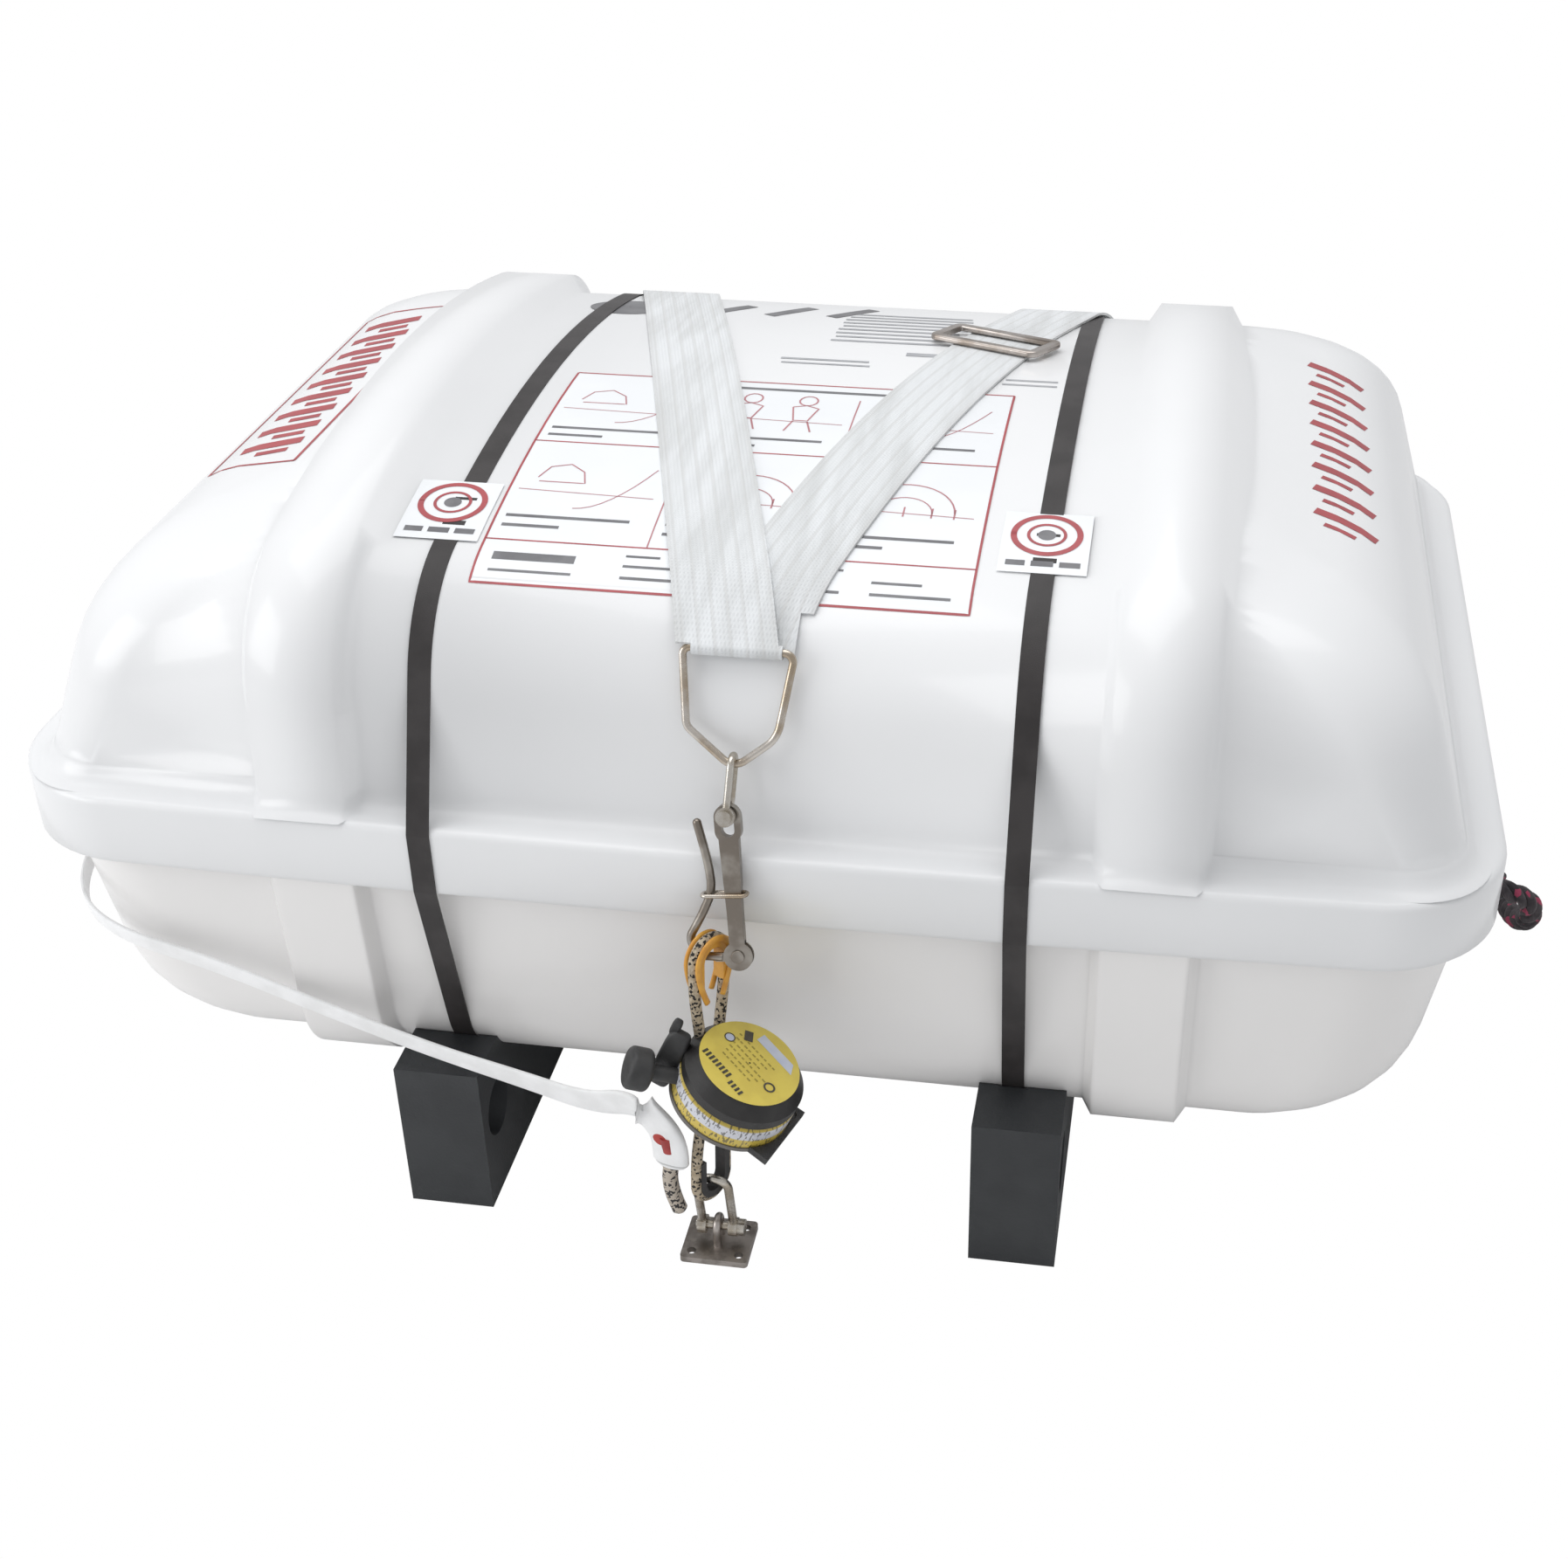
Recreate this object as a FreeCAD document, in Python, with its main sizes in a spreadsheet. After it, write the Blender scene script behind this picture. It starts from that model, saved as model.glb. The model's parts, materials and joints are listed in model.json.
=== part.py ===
import FreeCAD, Part
import math
import os
import Sketcher
from FreeCAD import Placement, Rotation, Vector

# Liferaft canister on its deck cradle, lashed down through a hydrostatic release.
# Frame: X along the canister, Y across it (front is -Y), Z up.  The origin is the
# centre of the footprint on the deck, so the cradle, the pad eye and the rear strap
# anchors stand on Z = 0.

doc = FreeCAD.newDocument("liferaft_canister")
sheet = doc.addObject("Spreadsheet::Sheet", "Sizes")

SIZES = [
    # canister shells
    ("rim_half_length", 525, "rim, half of its length"),
    ("rim_half_depth", 370, "rim, half of its depth at mid length"),
    ("rim_bow", 6, "how far the long rim sides bow out"),
    ("rim_corner", 92, "rim corner radius in plan"),
    ("rim_bottom", 276, "height of the rim's lower edge"),
    ("rim_face", 52, "height of the rim's outer face"),
    ("rim_edge", 5, "rounding of the rim's upper edge"),
    ("rim_lower_edge", 1.5, "rounding of the rim's lower edge"),
    ("wall", 5, "moulded wall"),
    ("foot_half_depth", 342, "upper shell at the rim, half depth"),
    ("foot_half_length", 499, "upper shell at the rim, half length"),
    ("foot_flare", 14, "fillet between upper shell and rim"),
    ("side_lean", 5, "draft of the long sides, degrees"),
    ("end_lean", 17, "draft of the upper shell's ends, degrees"),
    ("shoulder", 100, "shoulder radius of the upper shell"),
    ("crown_radius", 1200, "crown radius"),
    ("crown_top", 516, "height of the crown"),
    ("crown_half_length", 255, "where the crown starts to fall towards the ends"),
    ("crown_fall", 12, "fall of the crown towards the ends, degrees"),
    ("corner_foot", 44, "upper shell corner radius at the rim"),
    ("corner_crown", 78, "upper shell corner radius at the crown"),
    ("seam_half_length", 290, "where the middle stretch meets the end caps"),
    ("seam_step", 0.5, "how much the end caps are set in where a rib hides the seam"),
    ("rib_place", 290, "rib centre from mid length"),
    ("rib_crest", 30, "half width of a rib's crest"),
    ("rib_slope", 0.62, "run of a rib's side for each unit of its height"),
    ("rib_foot", 8, "how deep a rib's inner foot is buried"),
    ("rib_end_foot", 24, "how deep a rib's outer foot is buried"),
    ("rib_height", 15, "upper rib above the shell"),
    ("keel_height", 11, "lower rib below the shell"),
    ("hull_half_depth", 350, "lower shell at the rim's lower edge, half depth"),
    ("hull_half_length", 507, "lower shell at the rim's lower edge, half length"),
    ("hull_end_lean", 9, "draft of the lower shell's ends, degrees"),
    ("hull_bottom", 92, "height of the lower shell's bottom"),
    ("bilge", 65, "long bottom radius of the lower shell"),
    ("hull_end_radius", 100, "bottom radius at the ends"),
    ("hull_corner", 85, "lower shell corner radius"),
    ("lip_top", 317, "height of the lower shell's lip"),
    ("lip_gap", 2, "gap between lip and rim skirt"),
    ("gasket_inset", 1, "gasket edge inside the lip edge"),
    # bands
    ("band_place", 204, "band centre from mid length"),
    ("band_wide", 16, "band width"),
    ("band_thick", 1, "band thickness"),
    ("band_gap", 0.2, "running clearance under a band"),
    ("seal_long", 32, "crimp seal length"),
    ("seal_thick", 1.2, "crimp seal wall"),
    # cradle
    ("beam_place", 211, "cradle beam centre from mid length"),
    ("beam_wide", 63, "beam width"),
    ("beam_half_depth", 380, "beam half depth"),
    ("beam_high", 125, "height of the beam's end blocks"),
    ("beam_round", 4, "rounding of the beam's upright corners"),
    ("beam_gap", 0.2, "clearance between beam and shell"),
    ("beam_hole", 45, "lashing hole diameter"),
    ("beam_hole_place", 346, "lashing hole from mid depth"),
    ("beam_hole_high", 71, "lashing hole height"),
    ("band_groove", 3, "band groove clearance each side"),
    # lashing strap
    ("strap_wide", 66, "webbing width"),
    ("strap_thick", 2, "webbing thickness"),
    ("strap_gap", 0.4, "clearance under the webbing"),
    ("strap_lift", 2.3, "webbing lifted over the bands at the rear"),
    ("left_strand_front", 6, "left strand centre at the ring bar"),
    ("left_strand_slope", -0.283, "left strand, X gained per unit of Y"),
    ("right_strand_front", 17, "right strand centre at the ring bar"),
    ("right_strand_slope", 0.27, "right strand, X gained per unit of Y"),
    ("anchor_setback", 447, "rear anchor bar from mid depth"),
    ("anchor_bar_high", 17, "height of the anchor bar centre"),
    ("anchor_rod", 6, "anchor bar diameter"),
    ("anchor_half", 41, "anchor bar, half of its length"),
    ("anchor_plate_long", 128, "anchor plate length"),
    ("anchor_plate_wide", 26, "anchor plate width"),
    ("anchor_plate_thick", 4, "anchor plate thickness"),
    ("anchor_hole", 6.5, "anchor screw hole"),
    ("anchor_hole_place", 54, "anchor screw hole from the middle"),
    ("slider_long", 100, "slider frame length"),
    ("slider_wide", 46, "slider frame width"),
    ("slider_border", 8, "slider frame border"),
    ("slider_thick", 5, "slider frame thickness"),
    ("slider_turn", -26, "slider turned about the upright, degrees"),
    ("slider_x", 133, "slider centre in X"),
    ("slider_y", 118, "slider centre in Y"),
    # triangle ring
    ("ring_rod", 5.4, "ring wire diameter"),
    ("ring_bar_y", -322, "ring bar in Y"),
    ("ring_bar_z", 459, "ring bar in Z"),
    ("ring_lean", 23.5, "lean of the ring out of the vertical, degrees"),
    ("bar_clear", 0.08, "running clearance of the webbing loops"),
    ("fold_left", -17.5, "left edge of the fold round the ring bar"),
    ("fold_right", 43, "right edge of the fold round the ring bar"),
    # ring shackle
    ("link_rod", 5, "ring shackle rod"),
    ("link_half", 8, "ring shackle, half distance between its legs"),
    ("link_long", 32, "ring shackle, pin to bow centre"),
    ("link_eye", 13, "ring shackle eye diameter"),
    ("link_lean", 22.9, "lean of the ring shackle, degrees"),
    ("link_fit", 0.05, "pin running clearance"),
    ("link_slack", 0.6, "slack of the shackle pin in the hook eye"),
    # slip hook, in its own frame: pivot at the origin, shank along the third axis
    ("hook_x", 21.5, "hook pivot in X"),
    ("hook_y", -393, "hook pivot in Y"),
    ("hook_z", 265.6, "hook pivot in Z"),
    ("hook_roll", 6.1, "hook turned sideways, degrees"),
    ("hook_lean", 16.6, "hook leaning back, degrees"),
    ("hook_thick", 6, "hook plate thickness"),
    ("hook_disc", 20, "hook pivot disc diameter"),
    ("hook_eye_high", 92, "hook eye centre above the pivot"),
    ("hook_eye_wide", 18, "hook eye outer width"),
    ("hook_eye_tall", 27, "hook eye outer height"),
    ("hook_eye_slot", 9, "hook eye opening width"),
    ("hook_eye_slot_tall", 17.4, "hook eye opening height"),
    ("hook_shank_top", 14, "hook shank width under the eye"),
    ("hook_shank_low", 10.5, "hook shank width at the pivot"),
    ("tongue_rod", 6, "tongue diameter"),
    ("hook_pin", 6, "hook pivot pin"),
    ("keeper_rod", 2.8, "retaining ring wire"),
    ("keeper_clear", 0.3, "retaining ring clear of the shank"),
    ("keeper_high", 43, "retaining ring above the pivot"),
    ("keeper_left", -23, "retaining ring, left outer edge"),
    ("keeper_right", 10.2, "retaining ring, right outer edge"),
    # tether through the release unit
    ("rope", 8, "tether rope diameter"),
    ("loop_radius", 15, "tether loop radius at the thimbles"),
    ("waist", 8, "tether leg from the middle inside the release unit"),
    ("thimble_web", 1.6, "thimble web"),
    ("thimble_wide", 9.2, "thimble width"),
    ("thimble_leg", 20, "thimble leg length"),
    ("tether_turn", 60, "plane of the tether loop, degrees from X"),
    ("unit_radius", 44, "release unit radius"),
    ("unit_rim", 3, "release unit, base rim height"),
    ("unit_base", 21, "release unit, height below the cap"),
    ("unit_high", 40, "release unit height"),
    ("cap_radius", 43, "release cap radius"),
    ("cap_face", 36, "release cap, flat face radius"),
    ("cap_side", 9, "release cap, upright side"),
    ("ear_thick", 5, "release unit ear thickness"),
    ("knob_long", 30, "release unit side knob diameter"),
    ("knob_wide", 17, "release unit side knob thickness"),
    ("knob_neck", 11, "neck that carries the side knob"),
    ("knob_stand", 17.5, "side knob away from the unit's wall"),
    ("knob_turn", 203, "side knob's direction round the unit, degrees"),
    ("rope_clear", 0.3, "clearance round the rope inside the unit"),
    # painter and weak link
    ("painter", 7, "painter diameter"),
    ("sleeve", 11.5, "weak link outer diameter"),
    ("sleeve_long", 14, "weak link length"),
    ("grommet", 16, "painter port diameter"),
    ("grommet_flange", 26, "painter port flange diameter"),
    # deck fittings
    ("deck_rod", 6.5, "deck shackle rod"),
    ("deck_half", 11.5, "deck shackle, half distance between its legs"),
    ("deck_long", 47, "deck shackle, pin to bow centre"),
    ("deck_eye", 14, "deck shackle eye diameter"),
    ("deck_lean", 13, "deck shackle leaning forward, degrees"),
    ("deck_x", -3, "deck shackle in X"),
    ("deck_y", -393, "deck shackle pin in Y"),
    ("deck_pin_high", 19, "deck shackle pin height"),
    ("pad_long", 50, "pad eye plate length"),
    ("pad_wide", 44, "pad eye plate width"),
    ("pad_thick", 5, "pad eye plate thickness"),
    ("pad_rod", 6, "pad eye bow rod"),
    ("pad_hole", 6.5, "pad eye screw hole"),
    ("pad_hole_inset", 7.5, "pad eye screw hole from the edge"),
    # handles and contents
    ("handle_rope", 14, "handle rope diameter"),
    ("knot", 26, "stopper knot diameter"),
    ("raft_half_long", 425, "packed raft, half length"),
    ("raft_half_deep", 250, "packed raft, half depth"),
    ("raft_top", 436, "packed raft, top"),
    ("raft_round", 45, "packed raft, rounding"),
    ("rest_gap", 0.3, "clearance between pieces lying on one another"),
    ("bottle", 172, "gas cylinder diameter"),
    ("bottle_long", 560, "gas cylinder, straight length"),
    ("bottle_high", 232, "gas cylinder axis height"),
    ("valve", 34, "cylinder valve diameter"),
    ("valve_long", 46, "cylinder valve length"),
    ("pack_long", 230, "emergency pack length"),
    ("pack_wide", 150, "emergency pack width"),
    ("pack_high", 90, "emergency pack height"),
]
for row, (alias, value, note) in enumerate(SIZES, start=1):
    sheet.set("A%d" % row, str(value))
    sheet.setAlias("A%d" % row, alias)
    sheet.set("B%d" % row, note)
doc.recompute()


def size(alias):
    return float(sheet.get(alias))


PARTS = []


def keep(shape_object, label):
    shape_object.Label = label
    PARTS.append(shape_object)
    return shape_object


def feature(label, shape, placement=None):
    """A Part::Feature whose shape comes from Part's own functions."""
    made = doc.addObject("Part::Feature", label)
    made.Shape = shape
    if placement is not None:
        made.Placement = placement
    return keep(made, label)


# ---------------------------------------------------------------- plain geometry


def wire_from(edges):
    return Part.Wire(Part.__sortEdges__(edges))


def rounded_outline(half_x, half_y, radius, height):
    """Rounded rectangle at one height: four lines and four quarter arcs."""
    edges = []
    straight_x = half_x - radius
    straight_y = half_y - radius
    turn = math.sqrt(0.5) * radius
    for sign_x, sign_y in ((1, -1), (1, 1), (-1, 1), (-1, -1)):
        centre = Vector(sign_x * straight_x, sign_y * straight_y, height)
        side = centre + Vector(sign_x * radius, 0, 0)
        end = centre + Vector(0, sign_y * radius, 0)
        middle = centre + Vector(sign_x * turn, sign_y * turn, 0)
        first, last = (end, side) if sign_x * sign_y < 0 else (side, end)
        edges.append(Part.Arc(first, middle, last).toShape())
    for index in range(4):
        start = edges[index].Vertexes[-1].Point
        finish = edges[(index + 1) % 4].Vertexes[0].Point
        edges.append(Part.LineSegment(start, finish).toShape())
    return wire_from(edges)


def bowed_outline(half_x, half_y, bow, radius, height):
    """Rounded rectangle whose long sides are shallow arcs that bow out."""
    centre_x = half_x - radius
    bow_radius = (centre_x ** 2 + bow ** 2) / (2 * bow)
    bow_y = bow_radius - half_y
    centre_y = bow_y - math.sqrt((bow_radius - radius) ** 2 - centre_x ** 2)
    reach = bow_radius / (bow_radius - radius)
    touch = Vector(centre_x * reach, bow_y + (centre_y - bow_y) * reach, height)
    centre = Vector(centre_x, centre_y, height)
    to_side = Vector(1, 0, 0)
    to_touch = (touch - centre).normalize()
    middle = centre + (to_side + to_touch).normalize() * radius
    side = centre + to_side * radius
    edges = []
    for sx in (1, -1):
        for sy in (1, -1):
            points = [Vector(sx * p.x, sy * p.y, p.z) for p in (touch, middle, side)]
            edges.append(Part.Arc(*points).toShape())
        start = Vector(sx * side.x, side.y, height)
        finish = Vector(sx * side.x, -side.y, height)
        edges.append(Part.LineSegment(start, finish).toShape())
    for sy in (1, -1):
        crest = Vector(0, -sy * half_y, height)
        start = Vector(touch.x, sy * touch.y, height)
        finish = Vector(-touch.x, sy * touch.y, height)
        edges.append(Part.Arc(start, crest, finish).toShape())
    return wire_from(edges)


def slab(outline, top):
    """Prism from a level outline up to the height top."""
    face = Part.Face(outline)
    return face.extrude(Vector(0, 0, top - outline.BoundBox.ZMin))


def belt_path(circles, gap, x):
    """Taut loop round circles (y, z, radius), listed clockwise seen from -X."""
    count = len(circles)
    normals = []
    for index in range(count):
        y1, z1, r1 = circles[index]
        y2, z2, r2 = circles[(index + 1) % count]
        dy, dz = y2 - y1, z2 - z1
        span = math.hypot(dy, dz)
        along = max(-1.0, min(1.0, (r1 - r2) / span))
        across = math.sqrt(1 - along ** 2)
        normals.append(((dy * along - dz * across) / span, (dz * along + dy * across) / span))
    edges = []
    for index in range(count):
        y, z, radius = circles[index]
        reach = radius + gap
        n_in = normals[index - 1]
        n_out = normals[index]
        mid = Vector(0, n_in[0] + n_out[0], n_in[1] + n_out[1]).normalize()
        p_in = Vector(x, y + n_in[0] * reach, z + n_in[1] * reach)
        p_mid = Vector(x, y, z) + mid * reach
        p_out = Vector(x, y + n_out[0] * reach, z + n_out[1] * reach)
        edges.append(Part.Arc(p_in, p_mid, p_out).toShape())
        y2, z2, r2 = circles[(index + 1) % count]
        p_next = Vector(x, y2 + n_out[0] * (r2 + gap), z2 + n_out[1] * (r2 + gap))
        if p_out.distanceToPoint(p_next) > 1e-5:
            edges.append(Part.LineSegment(p_out, p_next).toShape())
    return wire_from(edges)


def belt(circles, gap, thick, x, wide):
    """Flat band of one thickness round the circles, centred on x."""
    outer = Part.Face(belt_path(circles, gap + thick, x - wide / 2))
    inner = Part.Face(belt_path(circles, gap, x - wide / 2))
    return outer.cut(inner).extrude(Vector(wide, 0, 0))


def bent_path(points, radii=None, closed=False):
    """Straight runs joined by tangent arcs.  A corner without a radius of its own
    gets the one whose tangents take 0.45 of the shorter neighbouring run."""
    radii = radii or {}
    count = len(points)
    corners = range(count) if closed else range(1, count - 1)
    enter, leave, arcs = {}, {}, {}
    for corner in corners:
        here = points[corner]
        before = points[corner - 1] - here
        after = points[(corner + 1) % count] - here
        half = before.getAngle(after) / 2
        shorter = min(before.Length, after.Length)
        radius = radii.get(corner, 0.45 * shorter * math.tan(half))
        before.normalize()
        after.normalize()
        reach = radius / math.tan(half)
        bisector = (before + after).normalize()
        centre = here + bisector * (radius / math.sin(half))
        enter[corner] = here + before * reach
        leave[corner] = here + after * reach
        arcs[corner] = Part.Arc(enter[corner], centre - bisector * radius, leave[corner])
    edges = []
    for start in range(count if closed else count - 1):
        finish = (start + 1) % count
        first = leave.get(start, points[start])
        last = enter.get(finish, points[finish])
        if first.distanceToPoint(last) > 1e-3:
            edges.append(Part.LineSegment(first, last).toShape())
        if finish in arcs:
            edges.append(arcs[finish].toShape())
    return edges


def tube(edges, radius):
    """Round bar along lines and arcs that meet tangentially."""
    pieces = []
    for edge in edges:
        start = edge.valueAt(edge.FirstParameter)
        tangent = edge.tangentAt(edge.FirstParameter)
        disc = Part.Face(Part.Wire(Part.makeCircle(radius, start, tangent)))
        if isinstance(edge.Curve, Part.Circle):
            axis = edge.Curve.Axis
            if axis.cross(start - edge.Curve.Center).dot(tangent) < 0:
                axis = axis * -1
            sweep = math.degrees(edge.Length / edge.Curve.Radius)
            pieces.append(disc.revolve(edge.Curve.Center, axis, sweep))
        else:
            pieces.append(disc.extrude(tangent * edge.Length))
    solid = pieces[0].multiFuse(pieces[1:]) if len(pieces) > 1 else pieces[0]
    return solid.removeSplitter()


def one_solid(shape):
    """The single solid inside a boolean result."""
    if len(shape.Solids) != 1:
        raise ValueError("expected one solid, got %d" % len(shape.Solids))
    return shape.Solids[0]


def tilt(degrees, kind):
    return {"sin": math.sin, "cos": math.cos, "tan": math.tan}[kind](math.radians(degrees))


# ---------------------------------------------------------------- shell sections

rim_top = size("rim_bottom") + size("rim_face")


def side_blend(inset):
    """Shoulder circle between leaning side wall and crown arc, as (y, z, radius)."""
    radius = size("shoulder") - inset
    crown = size("crown_radius") - inset
    crown_z = size("crown_top") - size("crown_radius")
    sin_lean = tilt(size("side_lean"), "sin")
    cos_lean = tilt(size("side_lean"), "cos")
    wall_y = size("foot_half_depth") - inset / cos_lean
    start = (wall_y - radius * cos_lean, rim_top - radius * sin_lean - crown_z)
    along = -start[0] * sin_lean + start[1] * cos_lean
    beyond = start[0] ** 2 + start[1] ** 2 - (crown - radius) ** 2
    step = -along + math.sqrt(along ** 2 - beyond)
    return (start[0] - step * sin_lean, start[1] + step * cos_lean + crown_z, radius)


def upper_half_depth(height, inset):
    """Half depth of the upper shell at a height, walls set in by inset."""
    y, z, radius = side_blend(inset)
    crown = size("crown_radius") - inset
    crown_z = size("crown_top") - size("crown_radius")
    wall_end = z + radius * tilt(size("side_lean"), "sin")
    crown_start = crown_z + (z - crown_z) * crown / (crown - radius)
    if height <= wall_end:
        foot = size("foot_half_depth") - inset / tilt(size("side_lean"), "cos")
        return foot - (height - rim_top) * tilt(size("side_lean"), "tan")
    if height <= crown_start:
        return y + math.sqrt(radius ** 2 - (height - z) ** 2)
    return math.sqrt(crown ** 2 - (height - crown_z) ** 2)


def upper_half_length(height, inset):
    """Half length of the upper shell at a height: end wall, shoulder, sloping crown."""
    lean, fall = size("end_lean"), size("crown_fall")
    radius = size("shoulder") - inset
    foot = size("foot_half_length") - inset / tilt(lean, "cos")
    crest = size("crown_top") - inset / tilt(fall, "cos")
    # the shoulder circle touches the leaning wall and the falling crown line
    offset_wall = foot - radius / tilt(lean, "cos")
    offset_crown = crest - radius / tilt(fall, "cos")
    wall_slope, fall_slope = tilt(lean, "tan"), tilt(fall, "tan")
    top_x = size("crown_half_length")
    centre_z = offset_crown - fall_slope * (offset_wall + wall_slope * rim_top - top_x)
    centre_z /= 1 - fall_slope * wall_slope
    centre_x = offset_wall - wall_slope * (centre_z - rim_top)
    if height <= centre_z + radius * tilt(lean, "sin"):
        return foot - (height - rim_top) * wall_slope
    if height <= centre_z + radius * tilt(fall, "cos"):
        return centre_x + math.sqrt(radius ** 2 - (height - centre_z) ** 2)
    return top_x + (crest - height) / fall_slope


def cap_corner(height, inset):
    share = (height - rim_top) / (size("crown_top") - rim_top)
    return size("corner_foot") + (size("corner_crown") - size("corner_foot")) * share - inset / 2


def beyond_ribs(solid):
    """What is left of a full-length solid outside the straight middle stretch."""
    reach = size("rim_half_length") * 2
    middle = Part.makeBox(size("seam_half_length") * 2, reach, reach,
                          Vector(-size("seam_half_length"), -reach / 2, 0))
    return solid.cut(middle)


def upper_end_caps(inset):
    """End caps: rounded outlines stacked from the rim to the crown."""
    y, z, radius = side_blend(inset)
    top = size("crown_top") - inset
    heights = [rim_top - size("wall"), z + radius * tilt(size("side_lean"), "sin")]
    heights += [z + radius * tilt(angle, "sin") for angle in range(15, 78, 8)]
    heights += [top - drop for drop in (19, 12, 6)]
    rings = []
    for height in sorted(heights):
        half_y = upper_half_depth(height, inset)
        half_x = upper_half_length(height, inset)
        corner = min(cap_corner(height, inset), half_y * 0.95)
        rings.append(rounded_outline(half_x, half_y, corner, height))
    return beyond_ribs(Part.makeLoft(rings, True, True))


def foot_flare():
    """Concave fillet between end caps and rim, as a stack of narrow ruled bands."""
    radius = size("foot_flare")
    rings = []
    for angle in (0, 18, 36, 54, 72, 90):
        height = rim_top + radius * (1 - tilt(angle, "cos"))
        extra = radius * (1 - tilt(angle, "sin"))
        rings.append(rounded_outline(upper_half_length(height, 0) + extra,
                                     upper_half_depth(height, 0) + extra,
                                     cap_corner(height, 0) + extra, height))
    return beyond_ribs(Part.makeLoft(rings, True, True))


def upper_profile(inset, x, bottom):
    """Cross-section of the upper shell in a YZ plane; inset may be negative."""
    y, z, radius = side_blend(inset)
    lean = size("side_lean")
    crown = size("crown_radius") - inset
    crown_z = size("crown_top") - size("crown_radius")
    reach = crown / (crown - radius)
    foot = size("foot_half_depth") - inset / tilt(lean, "cos")
    low = foot - (bottom - rim_top) * tilt(lean, "tan")
    wall_point = (y + radius * tilt(lean, "cos"), z + radius * tilt(lean, "sin"))
    crown_point = (y * reach, crown_z + (z - crown_z) * reach)
    out = Vector(0, wall_point[0] + crown_point[0] - 2 * y, wall_point[1] + crown_point[1] - 2 * z)
    out = out.normalize() * radius
    mid_point = (y + out.y, z + out.z)
    flared = size("foot_flare") if bottom == rim_top else size("rest_gap")
    reach_foot = flared * tilt((90 - lean) / 2, "tan")
    shelf = (low + reach_foot, bottom)
    rise = (low - reach_foot * tilt(lean, "sin"), bottom + reach_foot * tilt(lean, "cos"))
    toward = Vector(0, low - shelf[0], -flared).normalize() * flared
    hollow = (shelf[0] + toward.y, bottom + flared + toward.z)
    edges = []
    for side in (-1, 1):
        foot = [Vector(x, side * p[0], p[1]) for p in (shelf, hollow, rise)]
        ends = [Vector(x, side * p[0], p[1]) for p in (wall_point, mid_point, crown_point)]
        edges.append(Part.Arc(*foot).toShape())
        edges.append(Part.LineSegment(foot[2], ends[0]).toShape())
        edges.append(Part.Arc(*ends).toShape())
    left = Vector(x, -crown_point[0], crown_point[1])
    right = Vector(x, crown_point[0], crown_point[1])
    edges.append(Part.Arc(left, Vector(x, 0, crown_z + crown), right).toShape())
    edges.append(Part.LineSegment(Vector(x, -shelf[0], bottom), Vector(x, shelf[0], bottom)).toShape())
    return wire_from(edges)


def hull_blend(inset):
    """Bilge circle of the lower shell's long sides, as (y, z, radius)."""
    radius = size("bilge") - inset
    z = size("hull_bottom") + size("bilge")
    return (hull_wall(z, inset) - radius / tilt(size("side_lean"), "cos"), z, radius)


def hull_wall(height, inset):
    slope = tilt(size("side_lean"), "tan")
    foot = size("hull_half_depth") - inset / tilt(size("side_lean"), "cos")
    return foot - (size("rim_bottom") - height) * slope


def hull_half(height, foot, lean, radius, inset):
    """Half size of the lower shell at a height, for one of its two directions."""
    slope, cosine = tilt(lean, "tan"), tilt(lean, "cos")
    z = size("hull_bottom") + radius
    reach = radius - inset
    wall_foot = foot - inset / cosine
    centre = wall_foot - (size("rim_bottom") - z) * slope - reach / cosine
    if height >= z - reach * tilt(lean, "sin"):
        return wall_foot - (size("rim_bottom") - height) * slope
    return centre + math.sqrt(max(reach ** 2 - (height - z) ** 2, 0))


def lower_end_caps(inset, top):
    bottom = size("hull_bottom") + inset
    reach = size("hull_end_radius") - inset
    heights = [top] + [bottom + reach * (1 - tilt(angle, "cos")) for angle in range(0, 82, 9)]
    rings = []
    for height in sorted(heights):
        half_y = hull_half(height, size("hull_half_depth"), size("side_lean"), size("bilge"), inset)
        half_x = hull_half(height, size("hull_half_length"), size("hull_end_lean"),
                           size("hull_end_radius"), inset)
        rings.append(rounded_outline(half_x, half_y, size("hull_corner") - inset, height))
    return beyond_ribs(Part.makeLoft(rings, True, True))


def lower_profile(inset, x, top):
    """Cross-section of the lower shell in a YZ plane; inset may be negative."""
    y, z, radius = hull_blend(inset)
    lean = size("side_lean")
    wall_point = (y + radius * tilt(lean, "cos"), z - radius * tilt(lean, "sin"))
    mid_angle = (90 + lean) / 2
    mid_point = (y + radius * tilt(mid_angle, "cos"), z - radius * tilt(mid_angle, "sin"))
    low = z - radius
    edges = []
    for side in (-1, 1):
        ends = [Vector(x, side * p[0], p[1]) for p in (wall_point, mid_point, (y, low))]
        edges.append(Part.LineSegment(Vector(x, side * hull_wall(top, inset), top), ends[0]).toShape())
        edges.append(Part.Arc(*ends).toShape())
    edges.append(Part.LineSegment(Vector(x, -y, low), Vector(x, y, low)).toShape())
    wide = hull_wall(top, inset)
    edges.append(Part.LineSegment(Vector(x, -wide, top), Vector(x, wide, top)).toShape())
    return wire_from(edges)


def straight_middle(profile, inset, level):
    start = -size("seam_half_length")
    return Part.Face(profile(inset, start, level)).extrude(Vector(-2 * start, 0, 0))


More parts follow.
